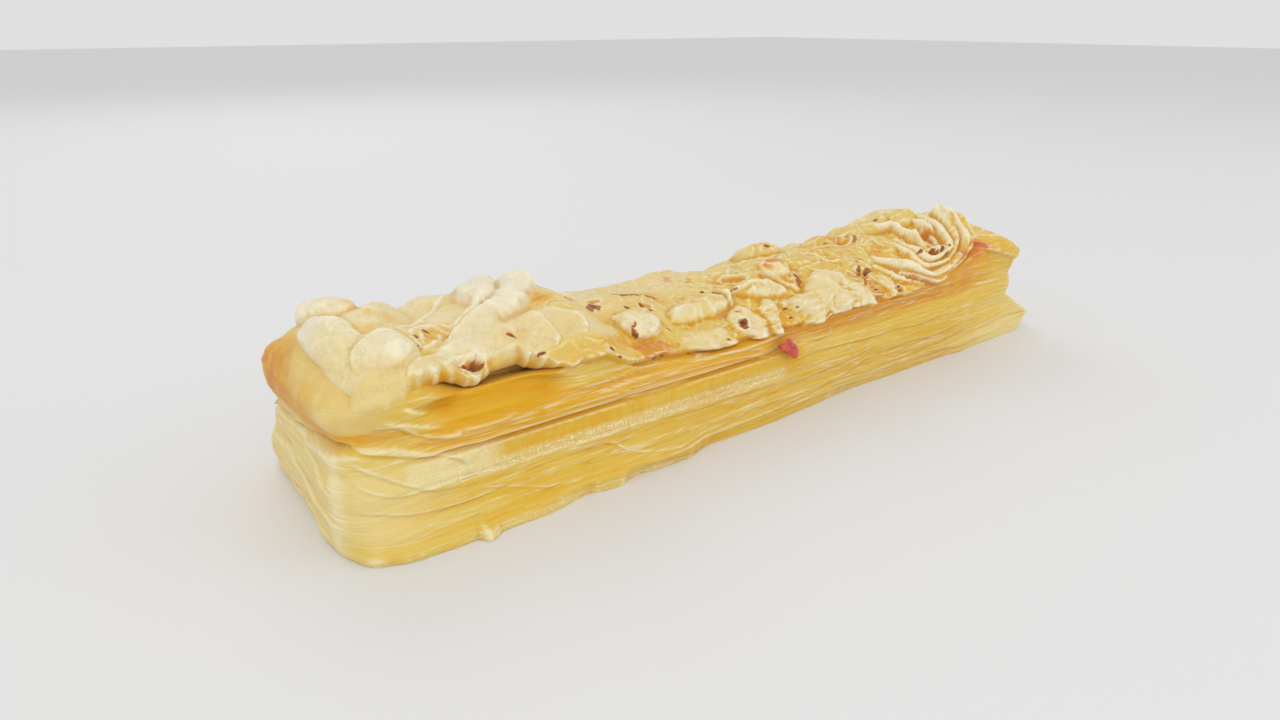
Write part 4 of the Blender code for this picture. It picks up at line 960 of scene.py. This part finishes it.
def spice_at(along, across):
    """How burnt or spiced the cheese is, from 0 to 1."""
    found = np.zeros(along.shape)
    for index, place in enumerate(SPICE):
        some, u, v = nearby(along, across, [place[:2]], 1.2 * max(place[2:4]))
        inside = oval(u, v, place) + 0.5 * grain(u / 1.7, v / 1.7, index * 1.7, 12)
        found[some] = np.maximum(found[some], fall(inside, 0.1, 0.85))
    return found


def browned_at(along, across):
    """How golden or brown the cheese is, from 0 to 1."""
    found = np.zeros(along.shape)
    for place in BROWNED:
        some, u, v = nearby(along, across, [place[:2]], 0.9 * max(place[2:4]))
        inside = oval(u, v, place) + 0.5 * grain(u / 2.6, v / 2.6, 3.3, 13)
        found[some] = np.maximum(found[some], place[5] * fall(inside, 0.1, 1.3))
    return found


def streaked(along, across, tint):
    """How strongly the streaks of one colour show, from 0 to 1."""
    found = np.zeros(along.shape)
    for width, strength, points in STREAKS[tint]:
        some, u, v = nearby(along, across, points, 2 * width)
        signed, share = from_line(u, v, points)
        away = np.abs(signed + 0.45 * width * grain(u / 1.3, v / 1.3, width, 28))
        ends = ease(share, 0, 0.15) * ease(1 - share, 0, 0.15)
        shown = strength * fall(away / width, 0.2, 1) * ends
        found[some] = np.maximum(found[some], shown)
    return found


def sheet_places(u, v):
    """Where the squares of the sheet lie, and how far they are from its four edges."""
    rough_along = SHEET_START + SHEET_LENGTH * u
    rough_across = through(FRONT_EDGE, rough_along) * (1 - v) + SHEET_BACK * v
    near_edge, far_edge = through(NEAR_EDGE, rough_across), through(FAR_EDGE, rough_across)
    along = near_edge + u * (far_edge - near_edge)
    low = through(FRONT_EDGE, along)
    low = low + 0.9 * grain(along / 3.4, 0.5, 0.5, 22) * ease(along, 44, 60)
    high = 29 + 1.8 * np.sin(along / 8) + 1.2 * np.sin(along / 3.7 + 1)
    high -= 15 * ease(along, 158, 182) + 6 * fall(along, 2, 12)
    across = low + v * (high - low)
    return along, across, (across - low, high - across, along - near_edge, far_edge - along)


def cheese_shape(u, v, relief):
    """The cheese's points from their shares of the sheet, and the numbers they keep."""
    along, across, gaps = sheet_places(u, v)
    height, tone = melted(along, across)
    hanging = band(along, *ARCH, 4)
    corner = fall(across, -24, -14) * fall(along, 7, 21)
    flowing = ease(tone, 0.4, 0.7) * ease(along, 50, 66)
    front_rim = 5.0 - 2.6 * hanging + 5.0 * corner - 1.8 * flowing
    rims = (front_rim, 4, 2.5 + 7 * corner, 3)
    to_edge = np.minimum.reduce([gap / rim for gap, rim in zip(gaps, rims)])
    to_edge = np.clip(to_edge, 0, 1)
    spice = spice_at(along, across)
    height += relief * skin(along, across, tone)
    height -= 0.35 * spice
    plain = cheese_height(along)
    raised = plain + (raised_height(along, across) - plain) * ease(to_edge, 0, 1)
    point, out = wrap(along, across, raised)
    walls = wall_offset(point, out)[0]
    crust = -crust_drop(along) * out[:, 2] + walls * (1 - out[:, 2])
    crust += (np.maximum(crust, -2.4) - crust) * hanging * ease(-across, 16, 19)
    puffy = np.maximum.reduce([hanging, ease(across, -14, -6), 0.8 * flowing])
    rim = np.sqrt(1 - (1 - to_edge) ** 2) * puffy + ease(to_edge, 0, 1) * (1 - puffy)
    thick = np.maximum(height - crust, 0.5) * (1 - 0.55 * corner)
    thick *= 1 - 0.45 * hanging * (1 - to_edge)
    height = crust - 0.25 + (thick + 0.25) * rim
    return point + out * height[:, None], {
        "along": along,
        "across": across,
        "tone": tone * (0.25 + 0.75 * ease(to_edge, 0.1, 0.9)),
        "spice": spice,
        "browned": browned_at(along, across),
        "under": np.minimum(height - 0.3 + raised - plain, crust),
        "brink": 1 - to_edge,
    }


def cheese_paint(kept, fine, broad):
    """How much each kind of paint shows at each point of the cheese."""
    along, across, tone = kept["along"], kept["across"], kept["tone"]
    spice, browned, brink = kept["spice"], kept["browned"], kept["brink"]
    orange = ease(along, 45, 110) * (across < 0)
    tinted = 0.35 + 0.65 * ease(along, 46, 66)
    low_side = ease(-across, 20, 33) * ease(along, 20, 50)
    white = 0.25 * ease(across, -14, -2) * fall(along, 52, 70)
    # Painted shade: gold in the hollows of the broad and the fine relief, fuller further along.
    fold_shade = 0.9 * ease(-broad, 0.0, 0.35) + 0.3 * ease(-fine, 0.01, 0.08)
    gold = 0.9 * browned + tinted * fold_shade
    gold += ease(brink, 0.3, 1) * (0.5 + 0.5 * orange) + streaked(along, across, "gold")
    gold += 0.7 * low_side * np.clip(1 - 1.2 * tone, 0, 1)
    toast = ease(browned, 0.55, 1.1) * 0.8 + 0.5 * ease(spice, 0.0, 0.5)
    toast += 0.5 * orange * ease(brink, 0.5, 1) + streaked(along, across, "toast")
    # Painted shade: the crease colour in the hollows of the broad and the fine relief.
    crease_shade = np.maximum(0.5 * ease(-broad, 0.2, 0.7), 0.55 * ease(-fine, 0.02, 0.09))
    return {
        # Pale paint: the cheese's own paler tone and a whiter part from the middle line back on the
        # near half, with a painted highlight where it stands out over a broad reach.
        "pale": 0.75 * tone + 0.5 * ease(broad, 0.05, 0.6) + white,
        "deep": np.clip(0.5 - tone, 0, 1) * 0.9,
        "gold": gold,
        "toast": toast,
        "crease_shade": crease_shade * tinted,
        # Painted highlight on the fine ridges and the broadest swells.
        "ridge_highlight": 0.7 * ease(fine, 0.015, 0.09) + 0.3 * ease(broad, 0.3, 0.9),
        "spice": np.maximum(ease(spice, 0.3, 0.8), streaked(along, across, "spice")),
    }


# ---------------------------------------------------------------- modelling helpers


def deselect():
    """Leaves edit mode with nothing chosen."""
    if bpy.context.object and bpy.context.object.mode != "OBJECT":
        bpy.ops.object.mode_set(mode="OBJECT")
    bpy.ops.object.select_all(action="DESELECT")


def choose(thing):
    """Makes this the one chosen object."""
    deselect()
    thing.select_set(True)
    bpy.context.view_layer.objects.active = thing


def edit_whole(step, **settings):
    """Takes one step of edit mode on the whole mesh."""
    bpy.ops.object.mode_set(mode="EDIT")
    bpy.ops.mesh.select_all(action="SELECT")
    step(**settings)
    bpy.ops.object.mode_set(mode="OBJECT")


def named(name):
    """The object that was just added, under its own name."""
    thing = bpy.context.object
    thing.name = name
    thing.data.name = name
    return thing


def points_of(thing):
    """The places of a mesh's points, one row for each."""
    flat = np.empty(len(thing.data.vertices) * 3)
    thing.data.vertices.foreach_get("co", flat)
    return flat.reshape(-1, 3)


def move_points(thing, points):
    """Puts the points of a mesh at these places."""
    thing.data.vertices.foreach_set("co", np.asarray(points, float).ravel())
    thing.data.update()


def to_frame(points):
    """From the bar's own millimetres to metres in the frame."""
    return (points + BAR_START) * MM


def store(thing, numbers):
    """Keeps one number for each point under each name, for later steps and the paint."""
    kept = thing.data.attributes
    for name, values in numbers.items():
        attribute = kept.get(name) or kept.new(name, "FLOAT", "POINT")
        attribute.data.foreach_set("value", np.asarray(values, np.float32))


def stored(thing, *names):
    """The numbers that were kept under these names."""
    found = {}
    for name in names:
        found[name] = np.empty(len(thing.data.vertices))
        thing.data.attributes[name].data.foreach_get("value", found[name])
    return found


def stand_out(thing, rounds):
    """How far each point stands out of its smoothed surroundings, in mm."""
    mesh = thing.data
    points = points_of(thing) / MM
    ends = np.empty(len(mesh.edges) * 2, int)
    mesh.edges.foreach_get("vertices", ends)
    a, b = ends.reshape(-1, 2).T
    count = len(points)
    degree = np.bincount(a, minlength=count) + np.bincount(b, minlength=count)
    smooth = points.copy()
    for _ in range(rounds):
        total = np.stack([
            np.bincount(a, smooth[b, axis], count) + np.bincount(b, smooth[a, axis], count)
            for axis in range(3)
        ], -1)
        smooth = 0.5 * smooth + 0.5 * total / degree[:, None]
    normals = np.empty(count * 3)
    mesh.vertices.foreach_get("normal", normals)
    return np.sum((points - smooth) * normals.reshape(-1, 3), axis=1)


def split_edges(axis, cuts):
    """In edit mode, splits every edge that runs along this axis."""
    mesh = bmesh.from_edit_mesh(bpy.context.object.data)
    for edge in mesh.edges:
        run = edge.verts[1].co - edge.verts[0].co
        edge.select = abs(run[axis]) > 0.9 * run.length
    mesh.select_flush_mode()
    bmesh.update_edit_mesh(bpy.context.object.data)
    bpy.ops.mesh.subdivide(number_cuts=cuts)


def box_of_squares(name, cuts):
    """A unit box split along its three axes, with one face for its base."""
    deselect()
    bpy.ops.mesh.primitive_cube_add(size=1)
    thing = named(name)
    bpy.ops.object.mode_set(mode="EDIT")
    bpy.context.tool_settings.mesh_select_mode = (False, True, False)
    for axis, axis_cuts in enumerate(cuts):
        for number in axis_cuts:
            split_edges(axis, number)
    bpy.context.tool_settings.mesh_select_mode = (False, False, True)
    bpy.ops.mesh.select_all(action="DESELECT")
    mesh = bmesh.from_edit_mesh(thing.data)
    for face in mesh.faces:  # those of the base lie at -0.5
        face.select = all(vert.co.z < -0.4999 for vert in face.verts)
    bmesh.update_edit_mesh(thing.data)
    bpy.ops.mesh.dissolve_faces()
    bpy.ops.mesh.select_all(action="SELECT")
    bpy.ops.mesh.delete_loose()
    bpy.ops.object.mode_set(mode="OBJECT")
    return thing


def apply_modifier(thing, kind, **settings):
    """Adds a modifier with these settings and applies it."""
    modifier = thing.modifiers.new(kind.lower(), kind)
    for key, value in settings.items():
        setattr(modifier, key, value)
    choose(thing)
    bpy.ops.object.modifier_apply(modifier=modifier.name)


def close_underside(sheet):
    """Doubles the cheese's sheet and lays the first layer under it, on the pastry."""
    edit_whole(bpy.ops.mesh.extrude_region_move)
    points = points_of(sheet)
    upper = np.zeros(len(points), bool)
    sheet.data.vertices.foreach_get("select", upper)
    along, across, under = stored(sheet, "along", "across", "under").values()
    point, out = wrap(along, across, cheese_height(along))
    below = to_frame(point + out * under[:, None])
    points[~upper] = below[~upper]
    move_points(sheet, points)
    edit_whole(bpy.ops.mesh.normals_make_consistent, inside=False)
    group = sheet.vertex_groups.new(name="underside")
    group.add(np.flatnonzero(~upper).tolist(), 1.0, "REPLACE")


def finish_piece(thing, paint, material, node):
    """Paints a piece, hangs it on the root and hides the solid that it stands for."""
    store(thing, {name: np.clip(share, 0, 1) for name, share in paint.items()})
    choose(thing)
    bpy.ops.object.shade_smooth()
    thing.data.materials.clear()
    thing.data.materials.append(material)
    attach(thing, "root")
    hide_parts(node)


# ---------------------------------------------------------------- materials


def srgb(red, green, blue):
    """A colour read off a screen, from 0 to 255, as Blender's own linear colour."""
    shares = [value / 255 for value in (red, green, blue)]
    return tuple(s / 12.92 if s <= 0.04045 else ((s + 0.055) / 1.055) ** 2.4 for s in shares)


class Paint:
    """A material on Object coordinates, built up coat by coat."""

    def __init__(self, name, base, roughness):
        self.material = bpy.data.materials.new(name)
        self.material.use_nodes = True
        self.tree = self.material.node_tree
        self.shader = self.tree.nodes["Principled BSDF"]
        self.shader.inputs["Roughness"].default_value = roughness
        self.places = self.tree.nodes.new("ShaderNodeTexCoord").outputs["Object"]
        self.colour = (*base, 1)

    def node(self, kind, **settings):
        """A new node with these settings."""
        made = self.tree.nodes.new(kind)
        for key, value in settings.items():
            setattr(made, key, value)
        return made

    def link(self, source, target):
        """Joins two sockets, or puts a constant on the second."""
        if isinstance(source, (int, float, tuple)):
            target.default_value = source
        else:
            self.tree.links.new(source, target)

    def stored(self, name):
        """The number that each point keeps under this name."""
        return self.node("ShaderNodeAttribute", attribute_name=name).outputs["Fac"]

    def noise(self, scale, detail=3.0, rough=0.5, stretch=(1, 1, 1), warp=0.0):
        """Noise with this many waves to the millimetre."""
        mapping = self.node("ShaderNodeMapping")
        mapping.inputs["Scale"].default_value = [1000 * scale * value for value in stretch]
        self.link(self.places, mapping.inputs["Vector"])
        texture = self.node("ShaderNodeTexNoise")
        texture.inputs["Scale"].default_value = 1.0
        texture.inputs["Detail"].default_value = detail
        texture.inputs["Roughness"].default_value = rough
        texture.inputs["Distortion"].default_value = warp
        self.link(mapping.outputs[0], texture.inputs["Vector"])
        return texture.outputs["Fac"]

    def range(self, value, low, high, start=0.0, end=1.0):
        """A smooth rise from start to end while the value goes from low to high."""
        made = self.node("ShaderNodeMapRange", interpolation_type="SMOOTHSTEP")
        self.link(value, made.inputs["Value"])
        made.inputs["From Min"].default_value = low
        made.inputs["From Max"].default_value = high
        made.inputs["To Min"].default_value = start
        made.inputs["To Max"].default_value = end
        return made.outputs["Result"]

    def veins(self, width, *args):
        """Thin lines that run on through the noise, 1 in their middle."""
        away = self.math("ABSOLUTE", self.math("SUBTRACT", self.noise(*args), 0.5), 0.0)
        return self.range(away, 0.0, width, 1.0, 0.0)

    def math(self, operation, a, b):
        """The outcome of a sum with two sockets or constants."""
        made = self.node("ShaderNodeMath", operation=operation)
        self.link(a, made.inputs[0])
        self.link(b, made.inputs[1])
        return made.outputs[0]

    def times(self, a, b):
        return self.math("MULTIPLY", a, b)

    def coat(self, colour, factor):
        """Lays a colour over what is there, where factor says."""
        mix = self.node("ShaderNodeMix", data_type="RGBA", clamp_factor=True)
        self.link(factor, mix.inputs["Factor"])
        self.link(self.colour, mix.inputs["A"])
        mix.inputs["B"].default_value = (*colour, 1)
        self.colour = mix.outputs["Result"]

    def coats(self, colours, *names):
        """Lays each colour where the number that is kept under its name says."""
        for name in names:
            self.coat(getattr(colours, name), self.stored(name))

    def bump(self, height, distance, strength=1.0):
        """Relief in the shading, of this many mm, on top of what is there."""
        made = self.node("ShaderNodeBump")
        made.inputs["Strength"].default_value = strength
        made.inputs["Distance"].default_value = distance * MM
        self.link(height, made.inputs["Height"])
        if self.shader.inputs["Normal"].is_linked:
            self.link(self.shader.inputs["Normal"].links[0].from_socket, made.inputs["Normal"])
        self.link(made.outputs[0], self.shader.inputs["Normal"])

    def finish(self, **inputs):
        """The material, with these constants on its shader's other sockets."""
        self.link(self.colour, self.shader.inputs["Base Color"])
        for name, value in inputs.items():
            self.shader.inputs[name.replace("_", " ")].default_value = value
        return self.material


def pastry_material(colours):
    """Dough with painted shade in gold in its folds, browned crust, painted highlights on its pale
    edges and thin lines along its leaves.
    """
    paint = Paint("baked pastry", colours.butter, 0.5)
    paint.coat(colours.straw, paint.range(paint.noise(0.05, 3, 0.5, (1, 1, 4)), 0.35, 0.65))
    shade = paint.range(paint.noise(0.6, 3, 0.6, (0.1, 0.1, 2.0), 0.4), 0.5, 0.75, 0, 0.6)
    paint.coat(colours.gold, shade)
    paint.coats(colours, "gold", "toast")
    upright = paint.range(paint.noise(0.8, 3, 0.6, (1, 1, 0.14), 0.3), 0.42, 0.6)
    paint.coat(colours.gold, paint.times(upright, paint.stored("panel")))
    paint.coat(colours.flour, paint.stored("pale"))
    # The frost, a granular band of white, takes the same near-white as the painted highlights.
    frost = paint.range(paint.noise(2.2, 4, 0.7), 0.5, 0.62)
    paint.coat(colours.ridge_highlight, paint.times(frost, paint.stored("frost")))
    # Painted shade in the creases, then painted highlights on the ridges.
    paint.coats(colours, "crease_shade", "ridge_highlight")
    leafy = paint.stored("leafy")
    # Thin pale lines along the leaves, bumped up a little, are painted highlights; the dark lines
    # between them take the colour of the painted crease shade.
    lines = paint.veins(0.016, 0.22, 4, 0.55, (0.05, 0.05, 2.6), 0.3)
    thin = paint.veins(0.02, 0.4, 4, 0.6, (0.05, 0.05, 2.8), 0.3)
    dark = paint.veins(0.012, 0.3, 4, 0.55, (0.04, 0.04, 2.2), 0.3)
    for colour, veins, strength in (
        (colours.ridge_highlight, lines, 0.5), (colours.ridge_highlight, thin, 0.3), (colours.crease_shade, dark, 0.5),
    ):
        paint.coat(colour, paint.times(veins, paint.times(leafy, strength)))
    paint.coat(colours.pepper, paint.stored("stain"))
    paint.bump(paint.noise(0.9, 4, 0.6, (0.15, 0.15, 1.5), 0.3), 0.3, 0.5)
    paint.bump(lines, 0.1, 0.5)
    return paint.finish(
        Subsurface_Weight=0.1, Subsurface_Radius=(1.0, 0.6, 0.2), Subsurface_Scale=0.002,
        Sheen_Weight=0.12, Sheen_Roughness=0.4, Specular_IOR_Level=0.15,
    )


def cheese_material(colours):
    """Pale cheese with painted shade in gold in its folds, painted highlights on its ridges,
    browned places and burnt spots with brown rims.
    """
    paint = Paint("baked cheese", colours.cream, 0.38)
    mottle = paint.range(paint.noise(0.35, 4, 0.6, (1, 1, 1), 1.2), 0.45, 0.75, 0, 0.5)
    paint.coat(colours.butter, mottle)
    paint.coat(colours.milk, paint.stored("pale"))
    paint.coat(colours.butter, paint.stored("deep"))
    # Gold also holds painted shade in the folds; the crease colour paints shade in the hollows and
    # the ridge colour paints highlights.
    paint.coats(colours, "gold", "toast", "crease_shade", "ridge_highlight")
    # Thin pale lines over the cheese, bumped up a little, are painted highlights.
    lines = paint.veins(0.012, 0.25, 3, 0.55, (1, 1, 1), 1.5)
    paint.coat(colours.ridge_highlight, paint.times(lines, 0.55))
    burnt = paint.times(paint.noise(1.1, 3, 0.6), 0.6)
    burnt = paint.math("ADD", paint.stored("spice"), burnt)
    paint.coat(colours.scorch, paint.range(burnt, 0.5, 0.8))
    paint.coat(colours.spice, paint.range(burnt, 1.12, 1.5))
    paint.bump(paint.noise(0.8, 4, 0.6, (1, 1, 1), 0.5), 0.2, 0.6)
    paint.bump(lines, 0.15, 0.6)
    return paint.finish(
        Subsurface_Weight=0.12, Subsurface_Radius=(1.0, 0.7, 0.3), Subsurface_Scale=0.002,
        Sheen_Weight=0.12, Sheen_Roughness=0.4, Specular_IOR_Level=0.2,
    )


def pepper_material(colours):
    """Red flesh with darker dots, a torn edge and a painted highlight on one side of its rim."""
    paint = Paint("red pepper", colours.pepper, 0.35)
    dots = paint.range(paint.noise(0.9, 4, 0.65), 0.42, 0.62)
    paint.coat(colours.char, paint.times(dots, 0.7))
    paint.coat(colours.char, paint.times(dots, paint.stored("torn")))
    # Painted highlight on one side of the rim, in the milk colour.
    paint.coat(colours.milk, paint.stored("pale"))
    paint.bump(paint.noise(0.8, 4, 0.6), 0.4, 0.8)
    return paint.finish(Subsurface_Weight=0.1, Subsurface_Scale=0.001)


# ---------------------------------------------------------------- settings


def size(name, description, default, low, high):
    """A number that can be changed."""
    return FloatProperty(name=name, description=description, default=default, min=low, max=high)


def colour(name, description, default):
    """A colour that can be changed."""
    return FloatVectorProperty(
        name=name, description=description, default=default, subtype="COLOR",
        size=3, min=0, max=1,
    )


class StrawShape(bpy.types.PropertyGroup):
    """The sizes that can be changed."""

    leaf_relief: size("Leaf relief", "Depth of the pastry's leaves, of the real one", 1.0, 0, 2)
    cheese_relief: size("Wrinkles", "Depth of the cheese's wrinkles, of the real one", 1.0, 0, 2)


class StrawColours(bpy.types.PropertyGroup):
    """The colours of the pastry, the cheese, the pepper and the floor."""

    butter: colour("Butter", "The pastry between its leaves", srgb(225, 186, 68))
    straw: colour("Straw", "The pastry's paler leaves", srgb(227, 196, 90))
    # Besides golden places, gold is the colour of the painted shade in the hollows of pastry and
    # cheese.
    gold: colour("Gold", "Deep golden pastry", srgb(228, 171, 32))
    toast: colour("Toast", "Browned crust", srgb(214, 134, 44))
    flour: colour("Flour", "Pale, barely baked dough", srgb(241, 228, 174))
    # Painted shade in creases and hollows, and the thin dark lines between the pastry's leaves.
    crease_shade: colour("Crease", "The bottom of folds", srgb(204, 142, 48))
    # Painted highlight on ridges, thin edges and pale lines; also the white of the pastry's frost.
    ridge_highlight: colour("Ridge", "The thin edges of leaves and folds", srgb(250, 242, 206))
    cream: colour("Cream", "The cheese's own colour", srgb(232, 205, 116))
    # Also the painted highlights of the cheese's swells and of the pepper's rim.
    milk: colour("Milk", "The palest cheese", srgb(239, 228, 198))
    scorch: colour("Scorch", "The brown rims of burnt spots", srgb(172, 106, 54))
    spice: colour("Spice", "Burnt spots and spice", srgb(98, 56, 40))
    pepper: colour("Pepper", "The red piece's flesh", srgb(218, 100, 66))
    char: colour("Char", "The red, torn edge of that piece", srgb(178, 42, 38))
    floor: colour("Floor", "The stage's floor", (0.80, 0.80, 0.80))


# ---------------------------------------------------------------- operators


class STRAW_OT_pastry(bpy.types.Operator):
    """Model the pastry bar with its leaves, folds, hollow and lips"""

    bl_idname = "straw.pastry"
    bl_label = "Pastry"

    def execute(self, context):
        bar = box_of_squares("pastry", PASTRY_CUTS)
        along, across, up = (points_of(bar) + 0.5).T
        relief = context.scene.straw_shape.leaf_relief
        points, parts = pastry_shape(along, 2 * across - 1, up, relief)
        move_points(bar, to_frame(points))
        paint = pastry_paint(points, parts, stand_out(bar, 3), stand_out(bar, 16))
        material = pastry_material(context.scene.straw_colours)
        finish_piece(bar, paint, material, "pastry_bar")
        return {"FINISHED"}


class STRAW_OT_cheese(bpy.types.Operator):
    """Model the melted cheese with its lobes, ropes, swirl and browned spots"""

    bl_idname = "straw.cheese"
    bl_label = "Cheese"

    columns: IntProperty(name="Columns", description="Squares along the bar", default=430)
    rows: IntProperty(name="Rows", description="Squares round the top", default=150)

    def execute(self, context):
        deselect()
        bpy.ops.mesh.primitive_grid_add(
            x_subdivisions=self.columns, y_subdivisions=self.rows, size=1
        )
        cheese = named("cheese")
        along, across = (points_of(cheese) + 0.5).T[:2]
        relief = context.scene.straw_shape.cheese_relief
        points, kept = cheese_shape(along, across, relief)
        move_points(cheese, to_frame(points))
        store(cheese, kept)
        apply_modifier(cheese, "SMOOTH", factor=0.5, iterations=1)
        close_underside(cheese)
        apply_modifier(cheese, "DECIMATE", ratio=0.6, vertex_group="underside")
        kept = stored(cheese, "along", "across", "tone", "spice", "browned", "brink")
        paint = cheese_paint(kept, stand_out(cheese, 3), stand_out(cheese, 20))
        material = cheese_material(context.scene.straw_colours)
        finish_piece(cheese, paint, material, "cheese_topping")
        return {"FINISHED"}


class STRAW_OT_pepper(bpy.types.Operator):
    """Model the torn piece of red pepper that sticks out under the cheese"""

    bl_idname = "straw.pepper"
    bl_label = "Pepper"

    def execute(self, context):
        low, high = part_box("red_pepper_piece")
        middle, span = (low + high) / 2, high - low
        deselect()
        bpy.ops.mesh.primitive_ico_sphere_add(subdivisions=5, radius=0.5)
        piece = named("red_pepper")
        ball = points_of(piece)
        x, y, z = (ball * 2).T
        outline = smooth_line(PEPPER_OUTLINE + PEPPER_OUTLINE[:1])
        spokes = outline - PEPPER_HUB
        angles = np.arctan2(spokes[:, 1], spokes[:, 0])
        order = np.argsort(angles)
        angle = np.arctan2(z, x)
        reach = np.interp(angle, angles[order], np.hypot(*spokes[order].T), period=2 * math.pi)
        reach *= 1 + 0.05 * grain(x * 3, y * 3, z * 3, 21)
        thick = 1.3 + 0.3 * grain(x * 1.5, y * 1.5, z * 1.5, 20)
        bend = 0.7 * (x + 0.4) ** 2 + 0.25 * grain(x * 2.4, 0.5, z * 2.4, 18)
        points = np.stack([x * reach, y * thick + bend, z * reach], -1) * MM
        across = points.max(0) - points.min(0)
        points = (points - (points.max(0) + points.min(0)) / 2) * np.array(span) / across
        move_points(piece, points + np.array(middle))
        rim = np.hypot(x, z)
        paint = {
            "torn": ease(rim, 0.45, 0.9) * ease(-x - 1.6 * z, -0.2, 0.8),
            # Painted highlight on one side of the rim.
            "pale": ease(rim, 0.7, 1) * ease(x + 0.4 * z, 0.3, 0.8),
        }
        material = pepper_material(context.scene.straw_colours)
        finish_piece(piece, paint, material, "red_pepper_piece")
        return {"FINISHED"}


class STRAW_OT_stage(bpy.types.Operator):
    """Set the pale floor, the soft studio light and the camera"""

    bl_idname = "straw.stage"
    bl_label = "Stage"

    def execute(self, context):
        deselect()
        bpy.ops.mesh.primitive_plane_add(size=6)
        floor = named("floor")
        paint = Paint("floor", context.scene.straw_colours.floor, 0.7)
        floor.data.materials.append(paint.finish())
        world = bpy.data.worlds.new("studio")
        bpy.context.scene.world = world
        world.use_nodes = True
        background = world.node_tree.nodes["Background"]
        background.inputs["Color"].default_value = (1, 1, 1, 1)
        background.inputs["Strength"].default_value = 0.75
        for name, place, power, width in LIGHTS:
            bpy.ops.object.light_add(type="AREA", location=place)
            light = named(name)
            light.data.energy = power
            light.data.size = width
            aim = LIT_PLACE - Vector(place)
            light.rotation_euler = aim.to_track_quat("-Z", "Y").to_euler()
        turn, tilt = math.radians(CAMERA_TURN), math.radians(CAMERA_TILT)
        back = Vector((
            math.sin(turn) * math.cos(tilt), -math.cos(turn) * math.cos(tilt), math.sin(tilt),
        ))
        bpy.ops.object.camera_add(location=to_frame(np.array(CAMERA_EYE)))
        camera = named("camera")
        camera.rotation_euler = back.to_track_quat("Z", "Y").to_euler()
        camera.data.sensor_width = SENSOR_WIDTH
        camera.data.lens = FOCAL_PIXELS / PHOTO_PIXELS * SENSOR_WIDTH
        camera.data.clip_start = 0.01
        bpy.context.scene.camera = camera
        bpy.context.scene.view_settings.view_transform = "Standard"
        return {"FINISHED"}


class STRAW_PT_panel(bpy.types.Panel):
    """Lists the sizes, the colours and the pieces"""

    bl_idname = "STRAW_PT_panel"
    bl_label = "Cheese straw"
    bl_space_type = "VIEW_3D"
    bl_region_type = "UI"
    bl_category = "Cheese straw"

    def draw(self, context):
        for group in (context.scene.straw_shape, context.scene.straw_colours):
            for name in group.__annotations__:
                self.layout.prop(group, name)
        for operator in PIECES:
            self.layout.operator(operator.bl_idname)


PIECES = (STRAW_OT_pastry, STRAW_OT_cheese, STRAW_OT_pepper, STRAW_OT_stage)
CLASSES = (StrawShape, StrawColours, *PIECES, STRAW_PT_panel)


def register():
    for kind in CLASSES:
        bpy.utils.register_class(kind)
    bpy.types.Scene.straw_shape = PointerProperty(type=StrawShape)
    bpy.types.Scene.straw_colours = PointerProperty(type=StrawColours)


def unregister():
    del bpy.types.Scene.straw_colours
    del bpy.types.Scene.straw_shape
    for kind in reversed(CLASSES):
        bpy.utils.unregister_class(kind)


def main():
    """Models the whole scene."""
    register()
    bpy.ops.straw.pastry()
    bpy.ops.straw.cheese()
    bpy.ops.straw.pepper()
    bpy.ops.straw.stage()
    bpy.context.view_layer.update()


if __name__ == "__main__":
    main()
